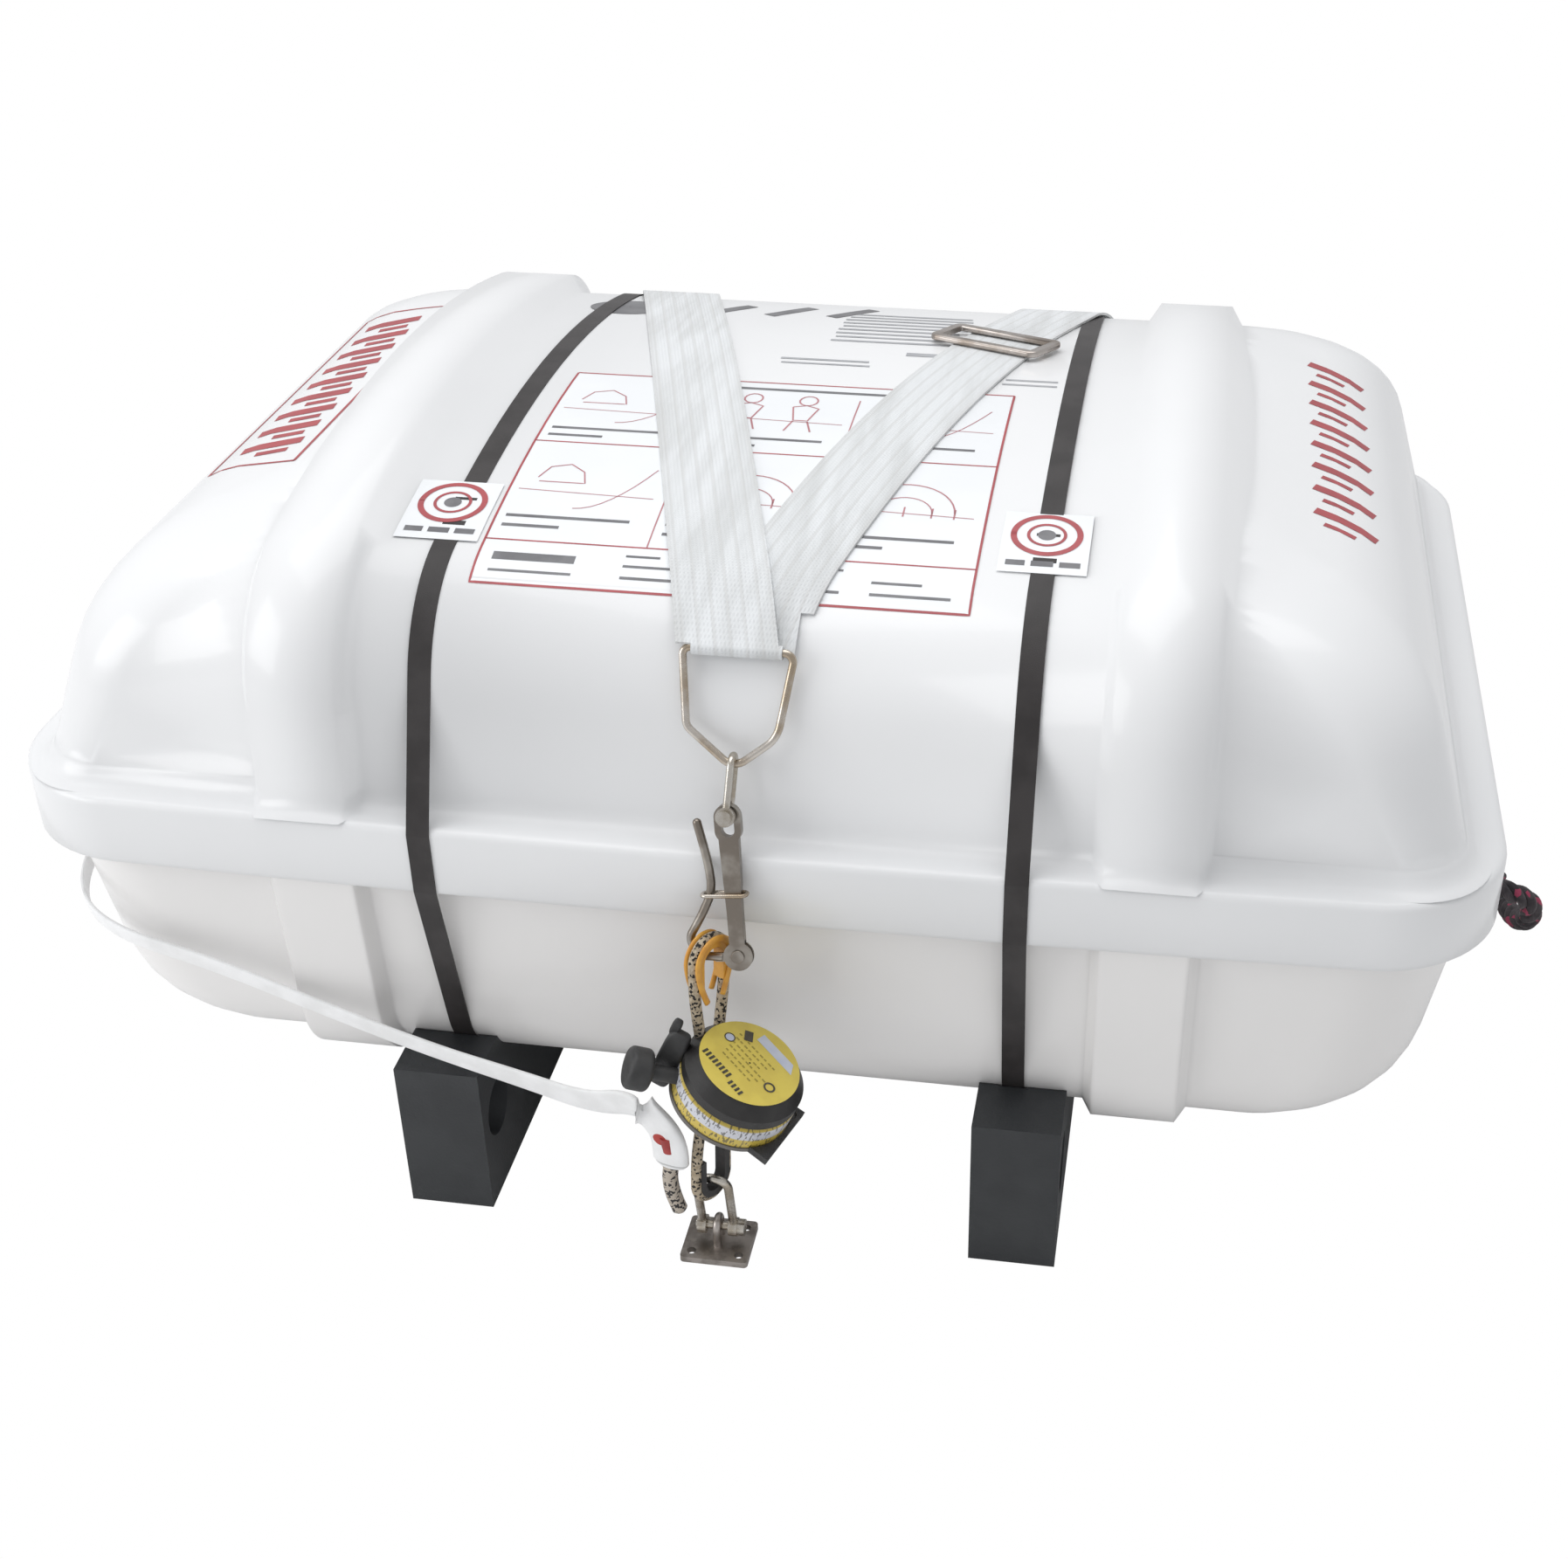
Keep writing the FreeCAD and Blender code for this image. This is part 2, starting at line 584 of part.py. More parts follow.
def rib_pair(profile, rise, sinks, level):
    """Two raised ribs with sloping sides; sinks are the buried feet, inner and outer."""
    ribs = []
    crest = size("rib_crest")
    slope = size("rib_slope")
    inner, outer = sinks
    for side in (-1, 1):
        stations = (
            (crest + (rise + outer) * slope, outer),
            (crest, -rise),
            (-crest, -rise),
            (-crest - (rise + inner) * slope, inner),
        )
        wires = []
        for offset, inset in stations:
            wires.append(profile(inset, side * (size("rib_place") + offset), level))
        ribs.append(Part.makeLoft(wires, True, True))
    return ribs


# ---------------------------------------------------------------- rope courses

# front half of each rope (mirrored in Y) from the knot inside to the middle, then the rear half;
# the right one bulges out in front and lies against the hull behind
LEFT_HALF = [Vector(-482, 110, 254), Vector(-515, 110, 251), Vector(-511, 104, 218),
             Vector(-505, 40, 206)]
HANDLES = {
    "right": ([Vector(485, 214, 257), Vector(556, 214, 251), Vector(566, 200, 216),
               Vector(556, 166, 192), Vector(551, 62, 182)],
              [Vector(485, 214, 257), Vector(518, 214, 254), Vector(514, 208, 221),
               Vector(512, 150, 203), Vector(522, 62, 186)]),
    "left": (LEFT_HALF, LEFT_HALF),
}
# the painter, from the port in the left end to the foot of the tether
PAINTER = [
    Vector(-484, -228, 222), Vector(-511, -228, 222), Vector(-503, -308, 214),
    Vector(-462, -352, 207), Vector(-380, -358, 190), Vector(-300, -364, 164),
    Vector(-212, -378, 145),
    Vector(-140, -390, 136), Vector(-88, -404, 133), Vector(-52, -417, 150),
    Vector(-30, -421, 132), Vector(-27, -418, 104), Vector(-33, -412, 70), Vector(-27, -408, 46),
]


# ---------------------------------------------------------------- canister


def rim_outline(inset, height):
    return bowed_outline(size("rim_half_length") - inset, size("rim_half_depth") - inset,
                         size("rim_bow"), size("rim_corner") - inset, height)


def rim_block():
    """Solid rim with both outer edges rounded in short ruled bands."""
    edge, low_edge = size("rim_edge"), size("rim_lower_edge")
    rings = [rim_outline(low_edge, size("rim_bottom")),
             rim_outline(0, size("rim_bottom") + low_edge)]
    for angle in (0, 30, 60, 90):
        rings.append(rim_outline(edge * (1 - tilt(angle, "cos")),
                                 rim_top - edge * (1 - tilt(angle, "sin"))))
    return Part.makeLoft(rings, True, True)


def make_upper_shell():
    wall = size("wall")
    under = rim_top - wall
    rim = rim_block()
    step = size("seam_step")
    dome = [straight_middle(upper_profile, 0, rim_top), upper_end_caps(step), foot_flare()]
    dome += rib_pair(upper_profile, size("rib_height"), (size("rib_foot"), size("rib_end_foot")),
                     rim_top)
    shell = rim
    for piece in dome:
        shell = shell.fuse(piece)
    pocket = slab(rim_outline(wall, size("rim_bottom") - 1), under)
    hollow = [pocket, straight_middle(upper_profile, wall, under), upper_end_caps(wall + 2 * step)]
    for tool in hollow:
        shell = shell.cut(tool)
    # the rim flange is a piece of its own, so that collision follows the ledge under the dome
    reach = size("rim_half_length")
    below = Part.makeBox(4 * reach, 4 * reach, rim_top, Vector(-2 * reach, -2 * reach, 0))
    feature("upper_rim", one_solid(shell.common(below)))
    return feature("upper_shell", one_solid(shell.cut(below)))


def make_lower_shell():
    wall = size("wall")
    top = size("lip_top")
    step = size("seam_step")
    hull = [straight_middle(lower_profile, 0, top), lower_end_caps(step, top)]
    hull += rib_pair(lower_profile, size("keel_height"), (size("rib_foot"), size("rib_foot")),
                     size("rim_bottom") - size("rest_gap"))
    inset = wall + size("lip_gap")
    lip_low = top - wall
    lip = slab(rim_outline(inset, lip_low), top)
    shell = lip.multiFuse(hull)
    inner_caps = lower_end_caps(wall + 2 * step, top + 1)
    for tool in (straight_middle(lower_profile, wall, top + 1), inner_caps):
        shell = shell.cut(tool)
    for end in HANDLES:
        for side, half in zip((-1, 1), HANDLES[end]):
            first, second = (Vector(p[0], side * p[1], p[2]) for p in half[:2])
            along = second - first
            hole = Part.makeCylinder(size("handle_rope") / 2, along.Length, first, along)
            shell = shell.cut(hole)
    port = Part.makeCylinder(size("grommet") / 2, 30, PAINTER[0], Vector(-1, 0, 0))
    return feature("lower_shell", one_solid(shell.cut(port)))


def make_gasket():
    inset = size("wall") + size("lip_gap") + size("gasket_inset")
    low, high = size("lip_top"), rim_top - size("wall")
    outer = slab(rim_outline(inset, low), high)
    side = hull_wall(low, 0) - size("wall")
    end = size("hull_half_length")
    inner = slab(rounded_outline(end, side, size("hull_corner"), low), high)
    return feature("rim_gasket", one_solid(outer.cut(inner)))


def rim_side(x):
    """Half depth of the bowed rim at x."""
    half = size("rim_half_length") - size("rim_corner")
    radius = (half ** 2 + size("rim_bow") ** 2) / (2 * size("rim_bow"))
    return size("rim_half_depth") - radius + math.sqrt(radius ** 2 - x ** 2)


def loop_circles(x):
    """Everything a band runs over, clockwise seen with the front to the left."""
    y, z, radius = side_blend(0)
    crown = size("crown_radius")
    bilge_y, bilge_z, bilge = hull_blend(0)
    side = rim_side(x)
    edge, low_edge = size("rim_edge"), size("rim_lower_edge")
    low = (side - low_edge, size("rim_bottom") + low_edge, low_edge)
    high = (side - edge, rim_top - edge, edge)
    rising = [(-low[0], low[1], low[2]), (-high[0], high[1], high[2]), (-y, z, radius)]
    falling = [(y, z, radius), high, low, (bilge_y, bilge_z, bilge)]
    return rising + [(0, size("crown_top") - crown, crown)] + falling + [(-bilge_y, bilge_z, bilge)]


def make_bands():
    for name, side in (("left", -1), ("right", 1)):
        x = side * size("band_place")
        circles = loop_circles(size("band_place") - size("band_wide") / 2)
        gap, thick, wide = size("band_gap"), size("band_thick"), size("band_wide")
        band = belt(circles, gap, thick, x, wide)
        feature("band_" + name, one_solid(band))
        skin = size("seal_thick")
        sleeve = belt(circles, gap - skin, thick + 2 * skin, x, wide + 2 * skin)
        centre_y = (size("hull_half_depth") + hull_blend(0)[0]) / 2
        window = Part.makeBox(wide * 2, wide * 4, size("seal_long"),
                              Vector(x - wide, centre_y, size("rim_bottom") - 2.6 * size("seal_long")))
        feature("band_seal_" + name, one_solid(sleeve.common(window).cut(band)))


# ---------------------------------------------------------------- sketch helpers


def base_plane(body, role):
    return [f for f in body.Origin.OriginFeatures if f.Role == role][0]


def new_sketch(body, role):
    sketch = body.newObject("Sketcher::SketchObject", "Sketch")
    sketch.AttachmentSupport = (base_plane(body, role), "")
    sketch.MapMode = "FlatFace"
    return sketch


def number(formula):
    """The present value of a sheet formula."""
    value = sheet.evalExpression(formula)
    return float(getattr(value, "Value", value))


def bind(sketch, kind, line, point, formula):
    """Distance of one point from the sketch origin, driven by the sheet."""
    index = sketch.addConstraint(Sketcher.Constraint(kind, -1, 1, line, point, number(formula)))
    sketch.setExpression("Constraints[%d]" % index, formula)


def polygon(sketch, corners):
    """Closed polygon whose corners are pairs of sheet formulas."""
    values = [Vector(number(x), number(y), 0) for x, y in corners]
    first = len(sketch.Geometry)
    count = len(corners)
    for index in range(count):
        sketch.addGeometry(Part.LineSegment(values[index], values[(index + 1) % count]), False)
    for index in range(count):
        after = first + (index + 1) % count
        sketch.addConstraint(Sketcher.Constraint("Coincident", first + index, 2, after, 1))
    for index, corner in enumerate(corners):
        bind(sketch, "DistanceX", first + index, 1, corner[0])
        bind(sketch, "DistanceY", first + index, 1, corner[1])


def circle(sketch, x_formula, y_formula, radius_formula):
    x, y, radius = number(x_formula), number(y_formula), number(radius_formula)
    index = sketch.addGeometry(Part.Circle(Vector(x, y, 0), Vector(0, 0, 1), radius), False)
    bind(sketch, "DistanceX", index, 3, x_formula)
    bind(sketch, "DistanceY", index, 3, y_formula)
    place = sketch.addConstraint(Sketcher.Constraint("Radius", index, radius))
    sketch.setExpression("Constraints[%d]" % place, radius_formula)


def new_body(label):
    body = doc.addObject("PartDesign::Body", label)
    keep(body, label)
    return body


def solid_step(body, kind, sketch, length=None, midplane=True):
    step = body.newObject("PartDesign::" + kind, kind)
    step.Profile = sketch
    if kind in ("Pad", "Pocket"):
        step.Midplane = midplane
        step.setExpression("Length", length)
    body.Tip = step
    doc.recompute()
    return step


# ---------------------------------------------------------------- cradle


def make_beams():
    for name, side in (("left", -1), ("right", 1)):
        body = new_body("cradle_beam_" + name)
        block = new_sketch(body, "YZ_Plane")
        half, high = "Sizes.beam_half_depth", "Sizes.beam_high"
        polygon(block, [("-" + half, "0"), (half, "0"), (half, high), ("-" + half, high)])
        solid_step(body, "Pad", block, "Sizes.beam_wide")
        # the saddle: flat under the shell, then the bilge, then the leaning side
        gap = "Sizes.beam_gap"
        y = "%.9f" % hull_blend(0)[0]
        flat = new_sketch(body, "YZ_Plane")
        floor = "Sizes.hull_bottom - " + gap
        above = "Sizes.beam_high + Sizes.beam_wide"
        polygon(flat, [("-" + y, floor), (y, floor), (y, above), ("-" + y, above)])
        solid_step(body, "Pocket", flat, "Sizes.beam_wide * 2")
        for mirror in ("-", ""):
            bilge = new_sketch(body, "YZ_Plane")
            circle(bilge, mirror + y, "Sizes.hull_bottom + Sizes.bilge", "Sizes.bilge + " + gap)
            solid_step(body, "Pocket", bilge, "Sizes.beam_wide * 2")
            hole = new_sketch(body, "YZ_Plane")
            circle(hole, mirror + "Sizes.beam_hole_place", "Sizes.beam_hole_high",
                   "Sizes.beam_hole / 2")
            solid_step(body, "Pocket", hole, "Sizes.beam_wide * 2")
        # room for the band that runs between beam and shell
        groove_gap = gap + " + Sizes.band_thick + Sizes.band_gap + Sizes.beam_gap"
        wide = "Sizes.band_wide + 2 * Sizes.band_groove"
        offset = side * (size("band_place") - size("beam_place"))
        floor = "Sizes.hull_bottom - (" + groove_gap + ")"
        trench = new_sketch(body, "YZ_Plane")
        trench.AttachmentOffset = Placement(Vector(0, 0, offset), Rotation())
        polygon(trench, [("-" + y, floor), (y, floor), (y, above), ("-" + y, above)])
        solid_step(body, "Pocket", trench, wide)
        for mirror in ("-", ""):
            arc = new_sketch(body, "YZ_Plane")
            arc.AttachmentOffset = Placement(Vector(0, 0, offset), Rotation())
            circle(arc, mirror + y, "Sizes.hull_bottom + Sizes.bilge",
                   "Sizes.bilge + " + groove_gap)
            solid_step(body, "Pocket", arc, wide)
        body.Placement = Placement(Vector(side * size("beam_place"), 0, 0), Rotation())


# ---------------------------------------------------------------- lashing


def shear(points, x):
    return [Vector(x, p[0], p[1]) for p in points]


def tangent_normal(first, second):
    """Outward normal of the taut line from one circle to the next, (y, z)."""
    dy, dz = second[0] - first[0], second[1] - first[1]
    span = math.hypot(dy, dz)
    along = (first[2] - second[2]) / span
    across = math.sqrt(1 - along ** 2)
    return ((dy * along - dz * across) / span, (dz * along + dy * across) / span)


def strand(circles, start_normal, centre_x, slope):
    """One webbing strand: a belt kept between two tangent lines, cut to its course."""
    reach = size("rim_half_length") * 4
    thick, wide = size("strap_thick"), size("strap_wide")
    first, last = circles[0], circles[-1]
    end_normal = tangent_normal(circles[-2], last)
    side = size("rim_half_length")
    keep_points = [
        (first[0], first[1]),
        (first[0] + start_normal[0] * reach, first[1] + start_normal[1] * reach),
        (last[0] + end_normal[0] * reach, first[1] + reach),
        (last[0] + end_normal[0] * reach, last[1] + end_normal[1] * reach),
        (last[0], last[1]),
    ]
    region = Part.Face(Part.makePolygon(shear(keep_points + keep_points[:1], -side)))
    region = region.extrude(Vector(2 * side, 0, 0))
    ring = belt(circles, 0, thick, 0, 2 * side).common(region)
    half = wide / 2 / math.cos(math.atan(slope))
    front, back = -reach / 4, reach / 4
    corners = []
    for x_offset, y in ((-half, front), (half, front), (half, back), (-half, back)):
        x = centre_x + slope * (y - size("ring_bar_y")) + x_offset
        corners.append(Vector(x, y, -1))
    column = Part.Face(Part.makePolygon(corners + corners[:1])).extrude(Vector(0, 0, reach))
    return ring.common(column)


def sleeve_round(y, z, radius, thick, x_low, x_high):
    """Webbing fold round a bar along X."""
    start = Vector(x_low, y, z)
    long = x_high - x_low
    outer = Part.makeCylinder(radius + thick, long, start, Vector(1, 0, 0))
    return outer.cut(Part.makeCylinder(radius, long, start, Vector(1, 0, 0)))


def anchor_x(name):
    slope = size(name + "_strand_slope")
    return size(name + "_strand_front") + slope * (size("anchor_setback") - size("ring_bar_y"))


lean_ring = Rotation(Vector(1, 0, 0), -size("ring_lean"))
bar_centre = Vector(0, size("ring_bar_y"), size("ring_bar_z"))


def ring_wire(radius):
    """D-shaped ring: bar, two nearly upright sides, blunt bottom."""
    outline = [(-24, 0), (51, 0), (42, 56), (14, 78), (-19, 52)]
    radii = {0: 5, 1: 6, 2: 22, 3: 12, 4: 9}
    down = lean_ring.multVec(Vector(0, 0, -1))
    points = [bar_centre + Vector(x, 0, 0) + down * along for x, along in outline]
    return tube(bent_path(points, radii, closed=True), radius)


def make_strap():
    thick, gap = size("strap_thick"), size("strap_gap")
    bar = size("ring_rod") / 2 + size("bar_clear")
    bar_y, bar_z = size("ring_bar_y"), size("ring_bar_z")
    y, z, radius = side_blend(0)
    crown = size("crown_radius")
    rim_y = size("rim_half_depth") - size("rim_edge")
    over = gap + size("strap_lift")
    edge = (rim_y, rim_top - size("rim_edge"), size("rim_edge") + over)
    hook_bar = size("anchor_rod") / 2 + size("bar_clear")
    anchor = (size("anchor_setback"), size("anchor_bar_high"), hook_bar)
    after = [(0, size("crown_top") - crown, crown + gap), (y, z, radius + over), edge, anchor]
    # the left strand lies on top: it leaves the bar's upper side over the right strand
    upper = [(bar_y, bar_z, bar), (-y, z, radius + gap + thick + gap)] + after
    pieces = [strand(upper, tangent_normal(upper[0], upper[1]),
                     size("left_strand_front"), size("left_strand_slope"))]
    # the right strand passes under the bar on a straight run tangent to the shoulder
    lower = [(-y, z, radius + gap)] + after
    under = (bar_y, bar_z, -bar - thick)
    normal = tangent_normal(under, lower[0])
    pieces.append(strand(lower, normal, size("right_strand_front"), size("right_strand_slope")))
    run = [(bar_y - normal[0] * (bar + thick), bar_z - normal[1] * (bar + thick)),
           (bar_y - normal[0] * bar, bar_z - normal[1] * bar),
           (-y + normal[0] * (radius + gap + thick), z + normal[1] * (radius + gap + thick)),
           (-y + normal[0] * (radius + gap), z + normal[1] * (radius + gap))]
    low_x = size("right_strand_front") - size("strap_wide") / 2
    flat = Part.Face(Part.makePolygon(shear(run + run[:1], low_x)))
    pieces.append(flat.extrude(Vector(size("strap_wide"), 0, 0)))
    pieces.append(sleeve_round(bar_y, bar_z, bar, thick, size("fold_left"), size("fold_right")))
    for name in ("left", "right"):
        half = size("strap_wide") / 2
        x = anchor_x(name)
        pieces.append(sleeve_round(anchor[0], anchor[1], hook_bar, thick, x - half, x + half))
    strap = pieces[0].multiFuse(pieces[1:])
    strap = strap.cut(ring_wire(bar))
    return feature("lashing_strap", max(strap.Solids, key=lambda solid: solid.Volume))


def make_slider():
    body = new_body("strap_slider")
    frame = new_sketch(body, "XY_Plane")
    x, y = "Sizes.slider_long / 2", "Sizes.slider_wide / 2"
    polygon(frame, [("-" + x, "-" + y), (x, "-" + y), (x, y), ("-" + x, y)])
    pad = solid_step(body, "Pad", frame, "Sizes.slider_thick")
    corners = ["Edge%d" % (i + 1) for i, e in enumerate(pad.Shape.Edges)
               if abs(e.tangentAt(e.FirstParameter).z) > 0.9]
    window = new_sketch(body, "XY_Plane")
    inner_x = "(Sizes.slider_long / 2 - Sizes.slider_border)"
    inner_y = "(Sizes.slider_wide / 2 - Sizes.slider_border)"
    polygon(window, [("-" + inner_x, "-" + inner_y), (inner_x, "-" + inner_y),
                     (inner_x, inner_y), ("-" + inner_x, inner_y)])
    fillet = body.newObject("PartDesign::Fillet", "Fillet")
    fillet.Base = (pad, corners)
    fillet.setExpression("Radius", "Sizes.slider_border")
    body.Tip = fillet
    doc.recompute()
    solid_step(body, "Pocket", window, "Sizes.slider_thick * 2")
    y = size("slider_y")
    crown = size("crown_radius")
    lean = math.asin(y / crown)
    lift = size("strap_gap") * 2 + size("strap_thick") + size("slider_thick") / 2
    reach = crown + lift
    z = size("crown_top") - crown + reach * math.cos(lean)
    turn = Rotation(Vector(0, 0, 1), size("slider_turn"))
    slope = Rotation(Vector(1, 0, 0), -math.degrees(lean))
    body.Placement = Placement(Vector(size("slider_x"), reach * math.sin(lean), z),
                               slope.multiply(turn))


def make_anchors():
    rod = size("anchor_rod") / 2
    half, high = size("anchor_half"), size("anchor_bar_high")
    base = size("anchor_plate_thick")
    for name in ("left", "right"):
        centre = Vector(anchor_x(name), size("anchor_setback"), 0)
        points = [Vector(-half, 0, base / 2), Vector(-half, 0, high),
                  Vector(half, 0, high), Vector(half, 0, base / 2)]
        bend = {1: rod * 1.3, 2: rod * 1.3}
        loop = tube(bent_path([centre + p for p in points], bend), rod)
        long, wide = size("anchor_plate_long"), size("anchor_plate_wide")
        plate = Part.makeBox(long, wide, base, centre - Vector(long / 2, wide / 2, 0))
        for side in (-1, 1):
            spot = centre + Vector(side * size("anchor_hole_place"), 0, -1)
            plate = plate.cut(Part.makeCylinder(size("anchor_hole") / 2, base + 2, spot))
        feature("strap_anchor_" + name, one_solid(plate.fuse(loop)))


# ---------------------------------------------------------------- release gear


def make_ring():
    return feature("triangle_ring", one_solid(ring_wire(size("ring_rod") / 2)))


hook_turn = Rotation(Vector(0, 1, 0), -size("hook_roll")).multiply(
    Rotation(Vector(1, 0, 0), -size("hook_lean")))
hook_place = Placement(Vector(size("hook_x"), size("hook_y"), size("hook_z")), hook_turn)


def on_hook(u, front, along):
    """A point given across, in front of and along the hook from its pivot."""
    return hook_place.multVec(Vector(u, -front, along))


def make_hook():
    thick = size("hook_thick")
    disc = size("hook_disc") / 2
    high = size("hook_eye_high")
    wide, tall = size("hook_eye_wide") / 2, size("hook_eye_tall") / 2
    slot, slot_tall = size("hook_eye_slot") / 2, size("hook_eye_slot_tall") / 2

    def stadium(half_wide, half_tall):
        middle = Part.makeBox(2 * half_wide, thick, 2 * (half_tall - half_wide),
                              Vector(-half_wide, -thick / 2, high - half_tall + half_wide))
        ends = []
        for side in (-1, 1):
            spot = Vector(0, -thick / 2, high + side * (half_tall - half_wide))
            ends.append(Part.makeCylinder(half_wide, thick, spot, Vector(0, 1, 0)))
        return middle.multiFuse(ends)

    top, low = size("hook_shank_top") / 2, size("hook_shank_low") / 2
    shape = [Vector(-low, -thick / 2, 0), Vector(low, -thick / 2, 0),
             Vector(low, -thick / 2, high / 3), Vector(top, -thick / 2, high - tall + wide),
             Vector(-top, -thick / 2, high - tall + wide), Vector(-low, -thick / 2, high / 3)]
    shank = Part.Face(Part.makePolygon(shape + shape[:1])).extrude(Vector(0, thick, 0))
    pivot = Part.makeCylinder(disc, thick, Vector(0, -thick / 2, 0), Vector(0, 1, 0))
    body = shank.multiFuse([stadium(wide, tall), pivot])
    body = body.cut(stadium(slot, slot_tall))
    fork = Part.makeBox(disc * 3, size("tongue_rod") / 2, disc * 2 + 2,
                        Vector(-disc * 2, -size("tongue_rod") / 4, -disc - 1))
    bore = Part.makeCylinder(size("hook_pin") / 2 + size("link_fit"), thick * 3,
                             Vector(0, -thick * 1.5, 0), Vector(0, 1, 0))
    body = body.cut(fork.common(Part.makeCylinder(disc + 2, thick, Vector(0, -thick / 2, 0),
                                                  Vector(0, 1, 0))))
    body = body.cut(bore)
    return feature("slip_hook_body", one_solid(body), hook_place)


def make_tongue():
    """The swinging arm: flat boss in the fork, then a round bar up the left side."""
    rod = size("tongue_rod") / 2
    disc = size("hook_disc") / 2
    course = [(-11, -1), (-28.6, 0), (-33, 13), (-22.4, 30), (-14.6, 46), (-16, 66), (-21.3, 92.7)]
    points = [Vector(u, 0, w) for u, w in course]
    bar = tube(bent_path(points, {1: 6, 2: 9}), rod)
    fit = size("link_fit")
    thick = size("tongue_rod") / 2 - 2 * fit
    boss = Part.makeCylinder(disc - 1, thick, Vector(0, -thick / 2, 0), Vector(0, 1, 0))
    arm = Part.makeBox(14, thick, 2 * rod, Vector(-16, -thick / 2, -1 - rod))
    tip = Part.makeSphere(rod, points[-1])
    bore = Part.makeCylinder(size("hook_pin") / 2 + fit, 20, Vector(0, -10, 0), Vector(0, 1, 0))
    clear = Part.makeCylinder(disc + 0.3, thick * 4, Vector(0, -thick * 2, 0), Vector(0, 1, 0))
    body = bar.cut(clear).multiFuse([boss, arm, tip]).cut(bore)
    return feature("slip_hook_tongue", one_solid(body), hook_place)


def make_hook_pin():
    radius = size("hook_pin") / 2
    thick = size("hook_thick")
    pin = Part.makeCylinder(radius, thick + 3, Vector(0, -thick / 2 - 1.5, 0), Vector(0, 1, 0))
    heads = [Part.makeCylinder(radius + 1.5, 1.5, Vector(0, -thick / 2 - 1.5, 0), Vector(0, 1, 0)),
             Part.makeCylinder(radius + 1.5, 1.5, Vector(0, thick / 2, 0), Vector(0, 1, 0))]
    return feature("slip_hook_pin", one_solid(pin.multiFuse(heads)), hook_place)


def make_keeper():
    """Oval ring that slides along shank and tongue and holds the hook shut."""
    wire = size("keeper_rod") / 2
    high = size("keeper_high")
    left, right = size("keeper_left") + wire, size("keeper_right") - wire
    deep = size("hook_thick") / 2 + wire + size("keeper_clear")
    points = [Vector(left, -deep, high), Vector(right, -deep, high),
              Vector(right, deep, high), Vector(left, deep, high)]
    bend = {index: deep * 0.8 for index in range(4)}
    ring = tube(bent_path(points, bend, closed=True), wire)
    return feature("slip_hook_ring", one_solid(ring), hook_place)


hook_eye_top = size("hook_eye_high") + size("hook_eye_slot_tall") / 2
link_pin = size("link_rod") / 2
link_origin = on_hook(0, 0, hook_eye_top - link_pin - size("link_slack"))
link_place = Placement(link_origin, Rotation(Vector(0, 1, 0), 3).multiply(
    Rotation(Vector(1, 0, 0), -size("link_lean"))))


def shackle_shape(rod, half, long, eye, eye_thick, pin, fit):
    """Bow with two eyes: legs to front and back, pin along the second axis."""
    points = [Vector(0, -half, eye / 3), Vector(0, -half, long + half),
              Vector(0, half, long + half), Vector(0, half, eye / 3)]
    bend = {1: half * 0.999, 2: half * 0.999}
    bow = tube(bent_path(points, bend), rod / 2)
    eyes = []
    for side in (-1, 1):
        start = Vector(0, side * half - eye_thick / 2, 0)
        eyes.append(Part.makeCylinder(eye / 2, eye_thick, start, Vector(0, 1, 0)))
    shape = bow.multiFuse(eyes)
    bore = Part.makeCylinder(pin / 2 + fit, half * 4, Vector(0, -half * 2, 0), Vector(0, 1, 0))
    return one_solid(shape.cut(bore))


def pin_shape(pin, half, eye_thick, head, head_long):
    reach = half + eye_thick / 2
    shaft = Part.makeCylinder(pin / 2, 2 * reach + 1.5, Vector(0, -reach, 0), Vector(0, 1, 0))
    knob = Part.makeCylinder(head / 2, head_long, Vector(0, -reach - head_long, 0),
                             Vector(0, 1, 0))
    return one_solid(shaft.fuse(knob))


def make_ring_shackle():
    rod, half = size("link_rod"), size("link_half")
    eye = size("link_eye")
    shape = shackle_shape(rod, half, size("link_long"), eye, rod, rod, size("link_fit"))
    feature("ring_shackle", shape, link_place)
    feature("ring_shackle_pin", pin_shape(rod, half, rod, rod * 1.9, rod * 0.8), link_place)


# ---------------------------------------------------------------- tether

tether_top = Vector(1, -393.6, 261.8)
tether_foot = Vector(-3, -406, 78)
tether_up = (tether_top - tether_foot).normalize()
tether_flat = Vector(tilt(size("tether_turn"), "cos"), tilt(size("tether_turn"), "sin"), 0)
tether_side = (tether_flat - tether_up * tether_flat.dot(tether_up)).normalize()
tether_out = tether_side.cross(tether_up)


def tether_frame(origin, upwards):
    """Placement whose third axis runs along the tether, away from its middle."""
    up = tether_up * (1 if upwards else -1)
    across = tether_out.cross(up)
    rotation = Rotation(across, tether_out, up, "ZXY")
    return Placement(origin, rotation)


